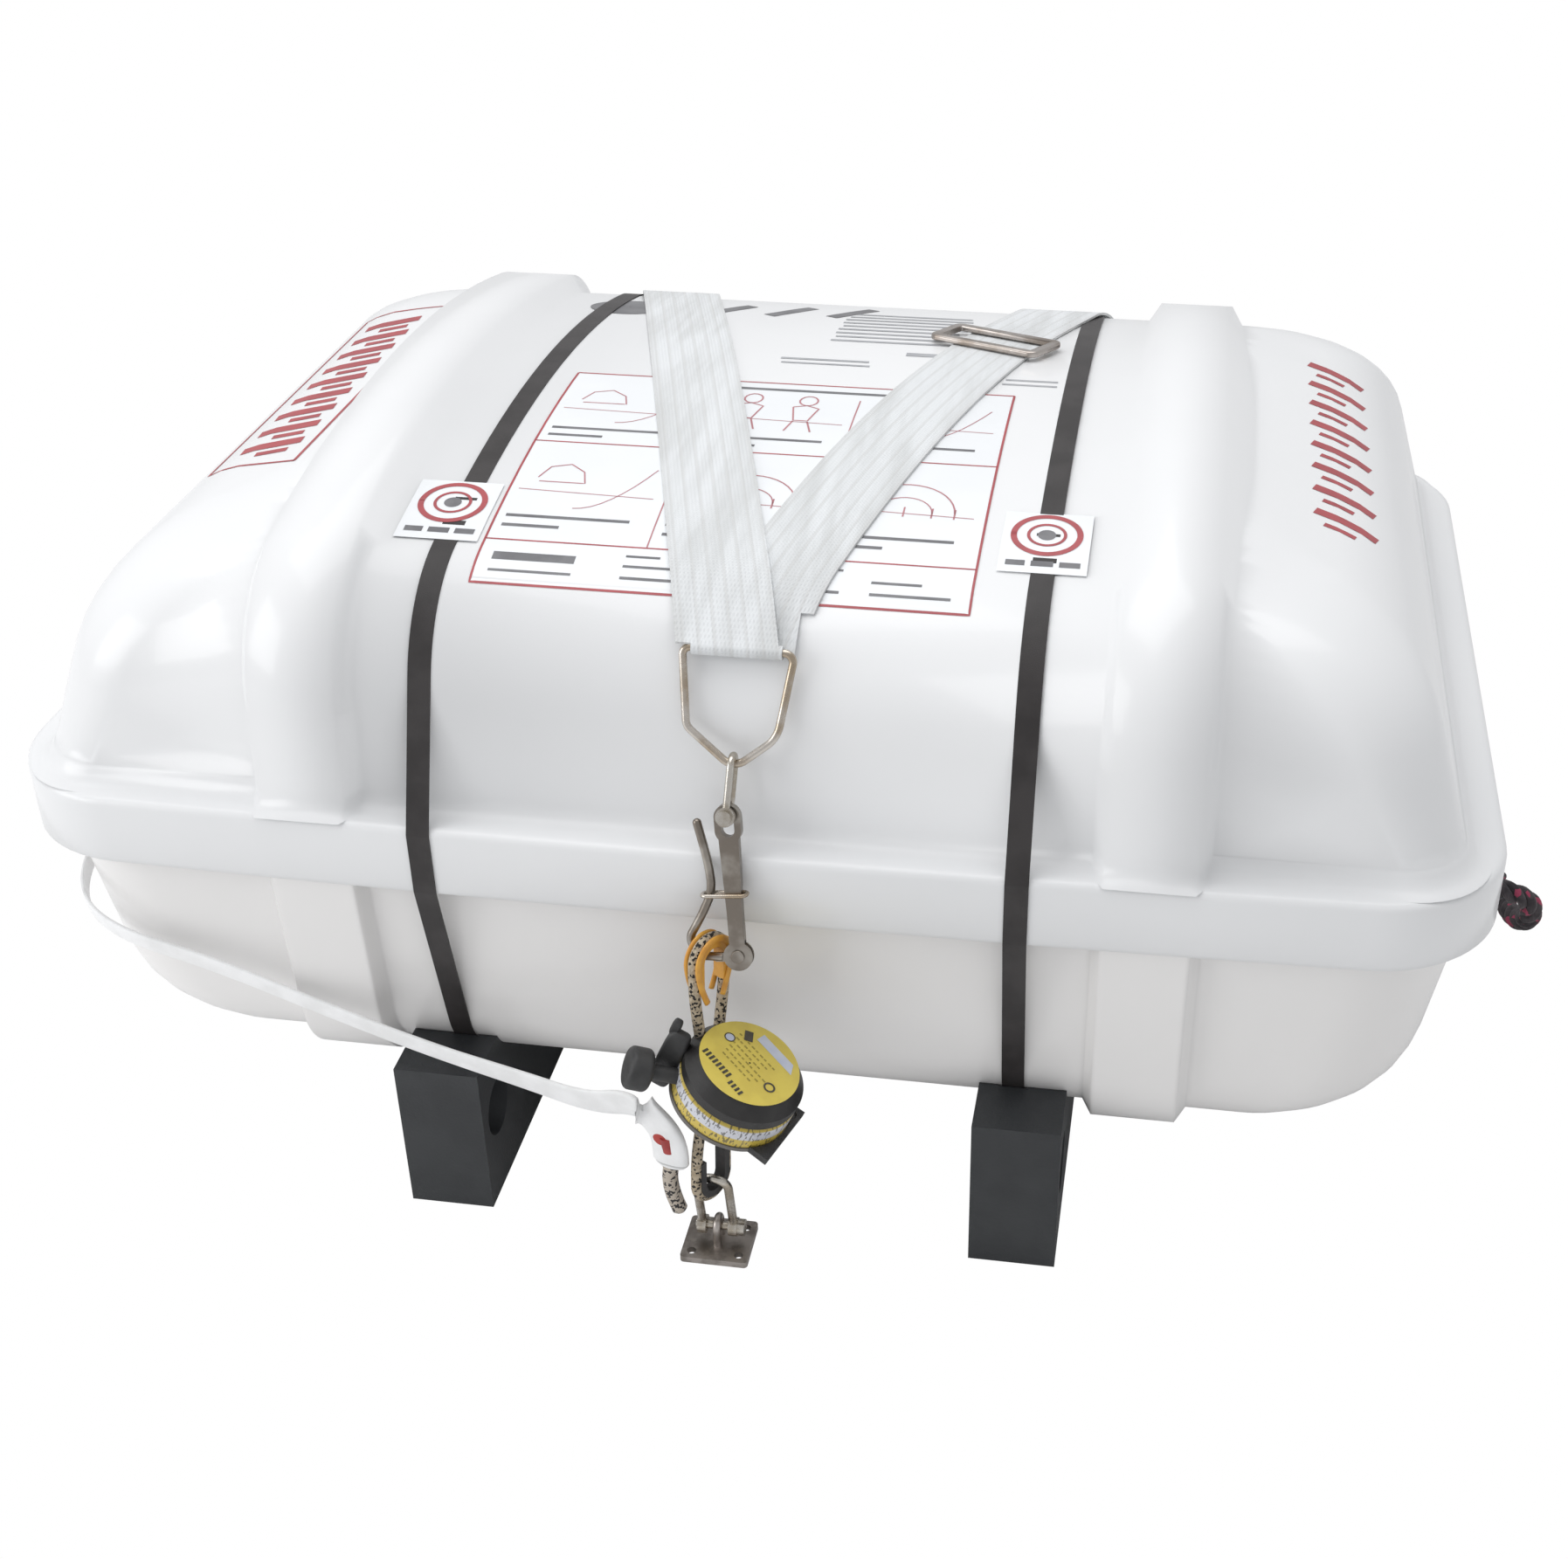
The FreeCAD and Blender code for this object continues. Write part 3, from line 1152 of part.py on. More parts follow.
def make_thimble(name, place):
    """U-shaped thimble: half a grooved ring and two straight legs."""
    rope = size("rope") / 2
    mean = size("loop_radius")
    inner = mean - rope - size("thimble_web")
    outer = mean - 0.4
    half = size("thimble_wide") / 2
    block = Part.makePolygon([Vector(inner, -half, 0), Vector(outer, -half, 0),
                              Vector(outer, half, 0), Vector(inner, half, 0),
                              Vector(inner, -half, 0)])
    groove = Part.Face(Part.Wire(Part.makeCircle(rope + size("rope_clear"), Vector(mean, 0, 0),
                                                 Vector(0, 0, 1))))
    section = Part.Face(block).cut(groove).Faces[0]
    crown = section.revolve(Vector(), Vector(0, -1, 0), 180)
    leg = section.extrude(Vector(0, 0, -size("thimble_leg")))
    other = leg.mirror(Vector(), Vector(1, 0, 0))
    return feature(name, one_solid(crown.multiFuse([leg, other]).removeSplitter()), place)


def rope_loop(radius):
    """The tether's closed course round both thimbles, narrow inside the unit."""
    mean, waist = size("loop_radius"), size("waist")
    leg = size("thimble_leg")
    long = (tether_top - tether_foot).Length
    high = unit_along + size("unit_high") * 0.9
    low = unit_along - size("unit_high") * 0.5
    corners = [(-mean, long + mean), (mean, long + mean), (mean, long - leg - 4), (waist, high),
               (waist, low), (mean, leg + 4), (mean, -mean), (-mean, -mean), (-mean, leg + 4),
               (-waist, low), (-waist, high), (-mean, long - leg - 4)]
    points = [tether_foot + tether_side * x + tether_up * along for x, along in corners]
    bend = {index: mean * 0.9995 for index in (0, 1, 6, 7)}
    return tube(bent_path(points, bend, closed=True), radius)


unit_axis = Vector(0.40, -0.08, 0.91).normalize()
unit_side = Vector(0.906, -0.115, -0.408)
unit_side = (unit_side - unit_axis * unit_side.dot(unit_axis)).normalize()
unit_face = Vector(31.5, -418, 194.5)
unit_origin = unit_face - unit_axis * size("unit_high")
unit_place = Placement(unit_origin, Rotation(unit_side, unit_axis.cross(unit_side), unit_axis,
                                             "ZXY"))
unit_along = (unit_origin - tether_foot).dot(tether_up)


def revolve_body(label, profile):
    """Body of revolution about its own Z from (radius, height) sheet formulas."""
    body = new_body(label)
    sketch = new_sketch(body, "XZ_Plane")
    polygon(sketch, profile)
    turn = body.newObject("PartDesign::Revolution", "Revolution")
    turn.Profile = sketch
    turn.ReferenceAxis = (base_plane(body, "Z_Axis"), [""])
    turn.Angle = 360
    body.Tip = turn
    doc.recompute()
    return body


def make_unit():
    """Hydrostatic release: round base, chamfered cap, side knob and ear."""
    rim, base, high = "Sizes.unit_rim", "Sizes.unit_base", "Sizes.unit_high"
    radius, cap = "Sizes.unit_radius", "Sizes.cap_radius"
    housing = revolve_body("release_housing", [
        ("0", "0"), (radius, "0"), (radius, rim),
        (radius + " - 1", rim), (radius + " - 1", base + " - 2"), (radius + " - 3", base),
        ("0", base)])
    lid = revolve_body("release_cap", [
        ("0", base), (cap + " - 2", base), (cap, base + " + 2"),
        (cap, base + " + Sizes.cap_side"), ("Sizes.cap_face", high + " - 1"),
        ("Sizes.cap_face - 1", high), ("0", high)])
    for body in (housing, lid):
        body.Placement = unit_place
    doc.recompute()
    channel = rope_loop(size("rope") / 2 + size("rope_clear"))
    for body in (housing, lid):
        PARTS.remove(body)
        drilled = doc.addObject("Part::Feature", "rope_channel")
        drilled.Shape = channel
        cut = doc.addObject("Part::Cut", body.Label + "_drilled")
        cut.Base = body
        cut.Tool = drilled
        doc.recompute()
        name = body.Label
        body.Label = name + "_blank"
        keep(cut, name)
    thick = size("ear_thick")
    corners = [Vector(36.5, 20.6, 0), Vector(50.4, 18.8, 0), Vector(41.9, -37.8, 0),
               Vector(24, -34, 0)]
    ear = Part.Face(Part.makePolygon(corners + corners[:1])).extrude(Vector(0, 0, thick))
    hole = Part.makeCylinder(2.2, thick + 2, Vector(44, 12, -1))
    disc = Part.makeCylinder(size("unit_radius"), thick + 2, Vector(0, 0, -1))
    feature("release_ear", one_solid(ear.cut(hole).cut(disc)), unit_place)
    wide, high = size("knob_wide"), size("ear_thick") + size("knob_neck") / 2 + 2
    outward = Vector(tilt(size("knob_turn"), "cos"), tilt(size("knob_turn"), "sin"), 0)
    away = size("unit_radius") + size("knob_stand")
    spot = outward * away + Vector(0, 0, high)
    knob = Part.makeCylinder(size("knob_long") / 2, wide, spot, outward)
    knob = knob.makeFillet(wide / 4, [edge for edge in knob.Edges if edge.Closed])
    neck = Part.makeCylinder(size("knob_neck") / 2, away + wide / 2, Vector(0, 0, high), outward)
    seat = Part.makeCylinder(size("unit_radius") - 1, size("unit_high"))
    body = knob.fuse(neck).cut(seat)
    feature("release_knob", one_solid(body), unit_place)


def make_tether():
    make_thimble("upper_thimble", tether_frame(tether_top, True))
    make_thimble("lower_thimble", tether_frame(tether_foot, False))
    feature("release_rope", one_solid(rope_loop(size("rope") / 2)))


# ---------------------------------------------------------------- painter


def make_painter():
    radius = size("painter") / 2
    edges = bent_path(PAINTER, {1: 7})
    feature("painter_tape", one_solid(tube(edges, radius)))
    spread = [e.Curve.Radius for e in edges if isinstance(e.Curve, Part.Circle)]
    print("painter radii", min(spread), max(spread))
    first, second = PAINTER[10], PAINTER[11]
    along = (second - first).normalize()
    start = first + (second - first) * 0.5 - along * size("sleeve_long") / 2
    sleeve = Part.makeCylinder(size("sleeve") / 2, size("sleeve_long"), start, along)
    core = Part.makeCylinder(radius + 2 * size("rest_gap"), size("sleeve_long"), start, along)
    feature("weak_link", one_solid(sleeve.cut(core)))


def make_port():
    """Rubber grommet in the left end; the painter runs through it."""
    centre = PAINTER[0]
    wall_x = -hull_half(centre.z, size("hull_half_length"), size("hull_end_lean"),
                        size("hull_end_radius"), 0)
    axis = Vector(1, 0, 0)
    plug = Part.makeCylinder(size("grommet") / 2, size("wall") + 8,
                             Vector(wall_x - 4, centre.y, centre.z), axis)
    return feature("painter_port", one_solid(plug.cut(Part.makeCylinder(
        size("painter") / 2 + size("rest_gap"), 40, Vector(wall_x - 20, centre.y, centre.z),
        axis))))


# ---------------------------------------------------------------- deck fittings


def make_deck_shackle():
    across = Rotation(Vector(0, 0, 1), 90)
    place = Placement(Vector(size("deck_x"), size("deck_y"), size("deck_pin_high")),
                      Rotation(Vector(1, 0, 0), size("deck_lean")).multiply(across))
    rod, half, eye = size("deck_rod"), size("deck_half"), size("deck_eye")
    shape = shackle_shape(rod, half, size("deck_long"), eye, rod, rod, size("link_fit"))
    feature("deck_shackle", shape, place)
    feature("deck_shackle_pin", pin_shape(rod, half, rod, rod * 1.9, rod * 0.8), place)


def make_pad_eye():
    long, wide, thick = size("pad_long"), size("pad_wide"), size("pad_thick")
    rod = size("pad_rod") / 2
    centre = Vector(size("deck_x"), size("deck_y"), 0)
    plate = Part.makeBox(long, wide, thick, centre - Vector(long / 2, wide / 2, 0))
    upright = [e for e in plate.Edges if abs(e.tangentAt(0).z) > 0.9]
    plate = plate.makeFillet(3, upright)
    inner = size("deck_rod") / 2 + size("link_fit")
    reach = inner + rod
    bow_points = [centre + Vector(0, -reach, thick / 2),
                  centre + Vector(0, -reach, size("deck_pin_high") + reach),
                  centre + Vector(0, reach, size("deck_pin_high") + reach),
                  centre + Vector(0, reach, thick / 2)]
    bend = {1: reach * 0.9995, 2: reach * 0.9995}
    eye = plate.fuse(tube(bent_path(bow_points, bend), rod))
    inset = size("pad_hole_inset")
    for x in (-long / 2 + inset, long / 2 - inset):
        for y in (-wide / 2 + inset, wide / 2 - inset):
            eye = eye.cut(Part.makeCylinder(size("pad_hole") / 2, thick + 2,
                                            centre + Vector(x, y, -1)))
    feature("pad_eye", one_solid(eye))


# ---------------------------------------------------------------- handles, contents


def make_handles():
    for name, (front_half, rear_half) in HANDLES.items():
        front = [Vector(p.x, -p.y, p.z) for p in front_half]
        points = front + list(reversed(rear_half))
        # the outer bends at the wall are tight; the rest follows the hanging rope
        edges = bent_path(points)
        rope = tube(edges, size("handle_rope") / 2)
        knots = [Part.makeSphere(size("knot") / 2, p) for p in (points[0], points[-1])]
        feature("handle_rope_" + name, one_solid(rope.multiFuse(knots)))


def make_contents():
    floor = size("hull_bottom") + size("wall") + 4 * size("seam_step") + size("rest_gap")
    half_x, half_y = size("raft_half_long"), size("raft_half_deep")
    gap = size("rest_gap")
    raft = Part.makeBox(2 * half_x, 2 * half_y, size("raft_top") - floor,
                        Vector(-half_x, -half_y, floor))
    raft = raft.makeFillet(size("raft_round"), raft.Edges)
    long, radius, high = size("bottle_long"), size("bottle") / 2, size("bottle_high")
    start = Vector(-long / 2, 0, high)
    bottle = Part.makeCylinder(radius, long, start, Vector(1, 0, 0))
    domes = [Part.makeSphere(radius, Vector(side * long / 2, 0, high)) for side in (-1, 1)]
    bottle = bottle.multiFuse(domes)
    valve_start = long / 2 + radius - 6
    valve = Part.makeCylinder(size("valve") / 2, size("valve_long"), Vector(valve_start, 0, high),
                              Vector(1, 0, 0))
    knob = Part.makeCylinder(size("valve") / 3, size("valve_long") * 0.8,
                             Vector(valve_start + size("valve_long") / 2, 0, high))
    valve = valve.fuse(knob).cut(bottle)
    cavity = Part.makeCylinder(radius + gap, long, start, Vector(1, 0, 0))
    cavity = cavity.multiFuse([Part.makeSphere(radius + gap, Vector(s * long / 2, 0, high))
                               for s in (-1, 1)])
    cavity = cavity.fuse(Part.makeBox(valve_start, size("valve") + 2 * gap, 3 * size("valve"),
                                      Vector(long / 2, -size("valve") / 2 - gap, high - size("valve"))))
    pack = Part.makeBox(size("pack_long"), size("pack_wide"), size("pack_high"),
                        Vector(-size("pack_long") - 40, -size("pack_wide") / 2,
                               size("raft_top") - size("pack_high")))
    room = Part.makeBox(size("pack_long") + 2 * gap, size("pack_wide") + 2 * gap,
                        size("pack_high") + 2 * gap,
                        Vector(-size("pack_long") - 40 - gap, -size("pack_wide") / 2 - gap,
                               size("raft_top") - size("pack_high") - gap))
    feature("packed_raft", one_solid(raft.cut(cavity).cut(room)))
    feature("gas_cylinder", one_solid(bottle))
    feature("cylinder_valve", one_solid(valve))
    feature("emergency_pack", one_solid(pack))


# ---------------------------------------------------------------- build and write

for step in (make_upper_shell, make_lower_shell, make_gasket, make_bands, make_beams, make_strap,
             make_slider, make_anchors, make_ring, make_ring_shackle, make_hook, make_tongue,
             make_hook_pin, make_keeper, make_tether, make_unit, make_painter, make_port,
             make_deck_shackle, make_pad_eye, make_handles, make_contents):
    step()
    print("made", step.__name__)

doc.recompute()
for thing in doc.Objects:
    if "Invalid" in thing.State or "Error" in thing.State:
        raise ValueError("%s: %s" % (thing.Label, thing.State))
os.makedirs("parts", exist_ok=True)
for part in PARTS:
    shape = part.Shape
    if shape.isNull() or not shape.isValid() or not shape.Solids:
        raise ValueError("bad shape: " + part.Label)
    shape.exportStep("parts/%s.step" % part.Label)
print(len(PARTS), "parts written")
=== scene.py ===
import math
import json
import numpy as np
import bpy
import bmesh
from mathutils import Matrix, Vector

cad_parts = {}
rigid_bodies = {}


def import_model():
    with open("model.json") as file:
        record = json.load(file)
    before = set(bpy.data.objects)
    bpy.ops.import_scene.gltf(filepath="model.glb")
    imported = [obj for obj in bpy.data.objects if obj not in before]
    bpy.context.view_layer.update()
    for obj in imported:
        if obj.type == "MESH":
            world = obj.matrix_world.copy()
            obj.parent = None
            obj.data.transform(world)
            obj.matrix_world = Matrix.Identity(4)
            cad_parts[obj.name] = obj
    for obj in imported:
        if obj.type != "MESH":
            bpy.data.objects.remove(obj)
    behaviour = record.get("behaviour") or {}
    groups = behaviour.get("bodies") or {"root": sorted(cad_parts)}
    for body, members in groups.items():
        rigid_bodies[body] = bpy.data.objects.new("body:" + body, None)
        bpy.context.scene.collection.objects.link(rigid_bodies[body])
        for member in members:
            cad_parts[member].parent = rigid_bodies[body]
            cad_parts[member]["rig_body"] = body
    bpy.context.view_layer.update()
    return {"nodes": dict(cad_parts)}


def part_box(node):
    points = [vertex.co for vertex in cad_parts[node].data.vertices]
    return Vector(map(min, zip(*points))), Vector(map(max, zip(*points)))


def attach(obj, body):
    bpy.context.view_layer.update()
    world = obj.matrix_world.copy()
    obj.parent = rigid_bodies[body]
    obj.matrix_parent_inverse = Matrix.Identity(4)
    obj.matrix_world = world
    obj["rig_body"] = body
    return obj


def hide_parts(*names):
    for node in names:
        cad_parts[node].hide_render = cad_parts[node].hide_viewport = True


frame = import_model()
nodes = frame["nodes"]
print("stage: frame loaded with", len(nodes), "nodes")


def newMaterial(name):
    mat = bpy.data.materials.new(name)
    mat.use_nodes = True
    tree = mat.node_tree
    return mat, tree, tree.nodes["Principled BSDF"]


def feed(tree, socket, value):
    if isinstance(value, bpy.types.NodeSocket):
        tree.links.new(value, socket)
    elif isinstance(value, (tuple, list)) and len(value) == 3 and socket.type == "RGBA":
        socket.default_value = (*value, 1.0)
    else:
        socket.default_value = value


def calc(tree, operation, *values, clamp=False):
    node = tree.nodes.new("ShaderNodeMath")
    node.operation = operation
    node.use_clamp = clamp
    for socket, value in zip(node.inputs, values):
        feed(tree, socket, value)
    return node.outputs[0]


def mixed(tree, factor, first, second, mode="MIX"):
    node = tree.nodes.new("ShaderNodeMix")
    node.data_type = "RGBA"
    node.blend_type = mode
    feed(tree, node.inputs[0], factor)
    feed(tree, node.inputs[6], first)
    feed(tree, node.inputs[7], second)
    return node.outputs[2]


def place(tree):
    return tree.nodes.new("ShaderNodeTexCoord").outputs["Object"]


def axes(tree, vector=None):
    node = tree.nodes.new("ShaderNodeSeparateXYZ")
    tree.links.new(vector or place(tree), node.inputs[0])
    return node.outputs


def along(tree, direction, origin=(0, 0, 0)):
    away = tree.nodes.new("ShaderNodeVectorMath")
    away.operation = "SUBTRACT"
    tree.links.new(place(tree), away.inputs[0])
    away.inputs[1].default_value = origin
    dot = tree.nodes.new("ShaderNodeVectorMath")
    dot.operation = "DOT_PRODUCT"
    tree.links.new(away.outputs[0], dot.inputs[0])
    dot.inputs[1].default_value = direction
    return dot.outputs["Value"]


def noise(tree, scale, detail=3.0, rough=0.5, vector=None, stretch=None):
    source = vector or place(tree)
    if stretch is not None:
        mapping = tree.nodes.new("ShaderNodeMapping")
        mapping.inputs["Scale"].default_value = stretch
        tree.links.new(source, mapping.inputs[0])
        source = mapping.outputs[0]
    node = tree.nodes.new("ShaderNodeTexNoise")
    node.inputs["Scale"].default_value = scale
    node.inputs["Detail"].default_value = detail
    node.inputs["Roughness"].default_value = rough
    tree.links.new(source, node.inputs["Vector"])
    return node.outputs["Fac"]


def ramp(tree, value, low, high):
    node = tree.nodes.new("ShaderNodeMapRange")
    node.interpolation_type = "SMOOTHSTEP"
    feed(tree, node.inputs["Value"], value)
    node.inputs["From Min"].default_value = low
    node.inputs["From Max"].default_value = high
    return node.outputs["Result"]


def bump(tree, shader, height, strength, distance=0.001, rounding=0.0):
    node = tree.nodes.new("ShaderNodeBump")
    node.inputs["Strength"].default_value = strength
    node.inputs["Distance"].default_value = distance
    tree.links.new(height, node.inputs["Height"])
    if rounding:
        soft = tree.nodes.new("ShaderNodeBevel")
        soft.samples = 8
        soft.inputs["Radius"].default_value = rounding
        tree.links.new(soft.outputs[0], node.inputs["Normal"])
    tree.links.new(node.outputs[0], shader.inputs["Normal"])


def finishOf(shader, rough=0.5, metal=0.0, coat=0.0, coatRough=0.1, specular=0.5, sheen=0.0):
    shader.inputs["Roughness"].default_value = rough
    shader.inputs["Metallic"].default_value = metal
    shader.inputs["Coat Weight"].default_value = coat
    shader.inputs["Coat Roughness"].default_value = coatRough
    shader.inputs["Specular IOR Level"].default_value = specular
    shader.inputs["Sheen Weight"].default_value = sheen


def plain(name, first, second, scale, grain=0.0, grainScale=900.0, **finish):
    mat, tree, shader = newMaterial(name)
    finishOf(shader, **finish)
    cloud = ramp(tree, noise(tree, scale), 0.35, 0.65)
    feed(tree, shader.inputs["Base Color"], mixed(tree, cloud, first, second))
    if grain:
        bump(tree, shader, noise(tree, grainScale, 2.0), grain)
    return mat


def gelcoat(name, tone, shade):
    mat, tree, shader = newMaterial(name)
    finishOf(shader, rough=0.32, coat=0.3, coatRough=0.1, specular=0.4)
    cloud = ramp(tree, noise(tree, 3.2, 4.0), 0.3, 0.75)
    colour = mixed(tree, cloud, tone, shade)
    feed(tree, shader.inputs["Base Color"], colour)
    swell = calc(tree, "ADD", calc(tree, "MULTIPLY", noise(tree, 9.0, 2.0), 6.0),
                 noise(tree, 260.0, 2.0))  # slow waves of a hand laid mould under fine peel
    bump(tree, shader, swell, 0.05, 0.0006, rounding=0.006)
    return mat


def webbing(name, tone, shade, stripeAndEdgeGrey):
    # a = x - x0 - slope (y - y0) runs across each half; ribs sin(2 pi a / pitch) run along it
    look = {"front": -0.322, "left": (0.006, -0.283), "right": (0.017, 0.27), "half": 0.0335,
            "rib": 0.0026, "pick": 0.0021, "stripe": 0.0107}
    mat, tree, shader = newMaterial(name)
    finishOf(shader, rough=0.62, specular=0.3, sheen=0.15)
    x, y, z = axes(tree)
    run = calc(tree, "SUBTRACT", y, look["front"])
    sides = []
    for start, slope in (look["left"], look["right"]):
        line = calc(tree, "ADD", calc(tree, "MULTIPLY", run, slope), start)
        sides.append(calc(tree, "SUBTRACT", x, line))
    onLeft = calc(tree, "LESS_THAN", calc(tree, "ABSOLUTE", sides[0]), look["half"])
    other = calc(tree, "SUBTRACT", 1.0, onLeft)
    across = calc(tree, "ADD", calc(tree, "MULTIPLY", sides[0], onLeft),
                  calc(tree, "MULTIPLY", sides[1], other))
    length = calc(tree, "ADD", y, calc(tree, "MULTIPLY", z, -1.0))
    ribs = calc(tree, "SINE", calc(tree, "MULTIPLY", across, 2 * math.pi / look["rib"]))
    picks = calc(tree, "SINE", calc(tree, "MULTIPLY", length, 2 * math.pi / look["pick"]))
    weave = calc(tree, "MULTIPLY", ribs, picks)
    height = calc(tree, "ADD", calc(tree, "MULTIPLY", ribs, 0.6), weave)
    streak = noise(tree, 60.0, 3.0, stretch=(1.0, 0.12, 0.3))
    base = mixed(tree, ramp(tree, streak, 0.35, 0.7), tone, shade)
    band = calc(tree, "SINE", calc(tree, "MULTIPLY", across, 2 * math.pi / look["stripe"]))
    base = mixed(tree, calc(tree, "MULTIPLY", ramp(tree, band, 0.55, 1.0), 0.4), base, stripeAndEdgeGrey)
    # each half is darker over its outer few millimetres, mixed towards the same grey as the stripes
    edge = ramp(tree, calc(tree, "ABSOLUTE", across), 0.029, 0.033)
    base = mixed(tree, calc(tree, "MULTIPLY", edge, 0.35), base, stripeAndEdgeGrey)
    feed(tree, shader.inputs["Base Color"], base)
    bump(tree, shader, height, 0.35, 0.0004)
    return mat


def flecked(name, tone, shade, fleck, share, scale, rough=0.7, pitch=0.0):
    mat, tree, shader = newMaterial(name)
    finishOf(shader, rough=rough, specular=0.25, sheen=0.1)
    base = mixed(tree, ramp(tree, noise(tree, scale * 0.5), 0.35, 0.65), tone, shade)
    cell = tree.nodes.new("ShaderNodeTexVoronoi")
    cell.inputs["Scale"].default_value = scale
    tree.links.new(place(tree), cell.inputs["Vector"])
    sort = axes(tree, cell.outputs["Color"])[0]
    chosen = calc(tree, "LESS_THAN", sort, share)
    feed(tree, shader.inputs["Base Color"], mixed(tree, chosen, base, fleck))
    bump(tree, shader, cell.outputs["Distance"], 0.5, 0.0008)
    return mat


def metal(name, tone, shade, rough, scale=45.0):
    mat, tree, shader = newMaterial(name)
    finishOf(shader, rough=rough, metal=1.0)
    cloud = ramp(tree, noise(tree, scale, 4.0, 0.6), 0.4, 0.62)
    feed(tree, shader.inputs["Base Color"], mixed(tree, cloud, tone, shade))
    wear = calc(tree, "ADD", calc(tree, "MULTIPLY", noise(tree, 300.0), 0.16), rough - 0.08)
    feed(tree, shader.inputs["Roughness"], wear)
    bump(tree, shader, noise(tree, 700.0, 2.0), 0.06, 0.0004)
    return mat


paints = {
    "gelcoat_upper": gelcoat("gelcoatUpper", (0.835, 0.842, 0.85), (0.795, 0.803, 0.812)),
    "gelcoat_lower": gelcoat("gelcoatLower", (0.86, 0.85, 0.84), (0.81, 0.8, 0.79)),
    "gasket": plain("gasketRubber", (0.16, 0.15, 0.14), (0.25, 0.24, 0.22), 40, 0.1, rough=0.7),
    "band": plain("bandPolyester", (0.03, 0.027, 0.027), (0.044, 0.04, 0.04), 30, 0.15,
                  1500, rough=0.45, coat=0.06, coatRough=0.4, specular=0.3),
    "seal": metal("sealCrimp", (0.35, 0.33, 0.31), (0.22, 0.2, 0.19), 0.4),
    "cradle": plain("cradleEnamel", (0.026, 0.028, 0.031), (0.037, 0.04, 0.043), 14, 0.2,
                    400, rough=0.55, coat=0.08, coatRough=0.4, specular=0.4),
    "webbing": webbing("lashingWebbing", (0.74, 0.76, 0.775), (0.62, 0.635, 0.64),
                       (0.55, 0.55, 0.54)),
    "slider_steel": metal("sliderSteel", (0.5, 0.46, 0.43), (0.33, 0.28, 0.24), 0.3, 28),
    "anchor_steel": metal("anchorSteel", (0.4, 0.38, 0.36), (0.28, 0.26, 0.24), 0.4),
    "ring_steel": metal("ringSteel", (0.62, 0.58, 0.53), (0.42, 0.34, 0.25), 0.26, 22),
    "shackle_steel": metal("shackleSteel", (0.6, 0.57, 0.52), (0.42, 0.37, 0.3), 0.26),
    "hook_steel": metal("hookSteel", (0.4, 0.37, 0.33), (0.24, 0.21, 0.18), 0.32, 30),
    "deck_steel": metal("deckSteel", (0.5, 0.46, 0.43), (0.32, 0.29, 0.265), 0.4, 60),
    "thimble_yellow": plain("thimbleYellow", (0.74, 0.38, 0.05), (0.62, 0.28, 0.035), 80, 0.1,
                            rough=0.42, coat=0.2, coatRough=0.25),
    "thimble_black": plain("thimbleBlack", (0.025, 0.024, 0.025), (0.045, 0.043, 0.042), 80,
                           0.1, rough=0.5),
    "rope_white": flecked("releaseRope", (0.5, 0.42, 0.31), (0.36, 0.29, 0.2),
                          (0.02, 0.018, 0.016), 0.24, 620),
    "cap": plain("releaseCap", (0.014, 0.013, 0.013), (0.022, 0.021, 0.02), 60, 0.12,
                 rough=0.42),
    "ear": plain("releaseEar", (0.024, 0.024, 0.025), (0.04, 0.04, 0.04), 60, 0.15,
                 rough=0.5),
    "weak_red": plain("weakLinkRed", (0.42, 0.05, 0.045), (0.3, 0.03, 0.03), 90, 0.1,
                      rough=0.5),
    "port_rubber": plain("portRubber", (0.03, 0.03, 0.03), (0.05, 0.05, 0.05), 70, 0.2,
                         rough=0.6),
    "handle": flecked("handleRope", (0.07, 0.06, 0.065), (0.035, 0.03, 0.034),
                      (0.33, 0.05, 0.1), 0.14, 210),
    "raft": plain("raftFabric", (0.5, 0.13, 0.03), (0.4, 0.09, 0.02), 18, 0.3, 250,
                  rough=0.65, sheen=0.1),
    "bottle": plain("gasBottle", (0.05, 0.16, 0.07), (0.035, 0.12, 0.05), 25, 0.1, rough=0.4),
    "valve": metal("valveBrass", (0.55, 0.4, 0.16), (0.42, 0.29, 0.11), 0.35),
    "pack": plain("packFabric", (0.55, 0.5, 0.1), (0.45, 0.4, 0.08), 20, 0.3, 260, rough=0.7),
}


label = {"centre": (0.0315, -0.418, 0.1945), "axis": (0.4012, -0.0802, 0.9125),
         "side": (0.906, -0.115, -0.408), "radius": 0.0362, "turn": -25.0}


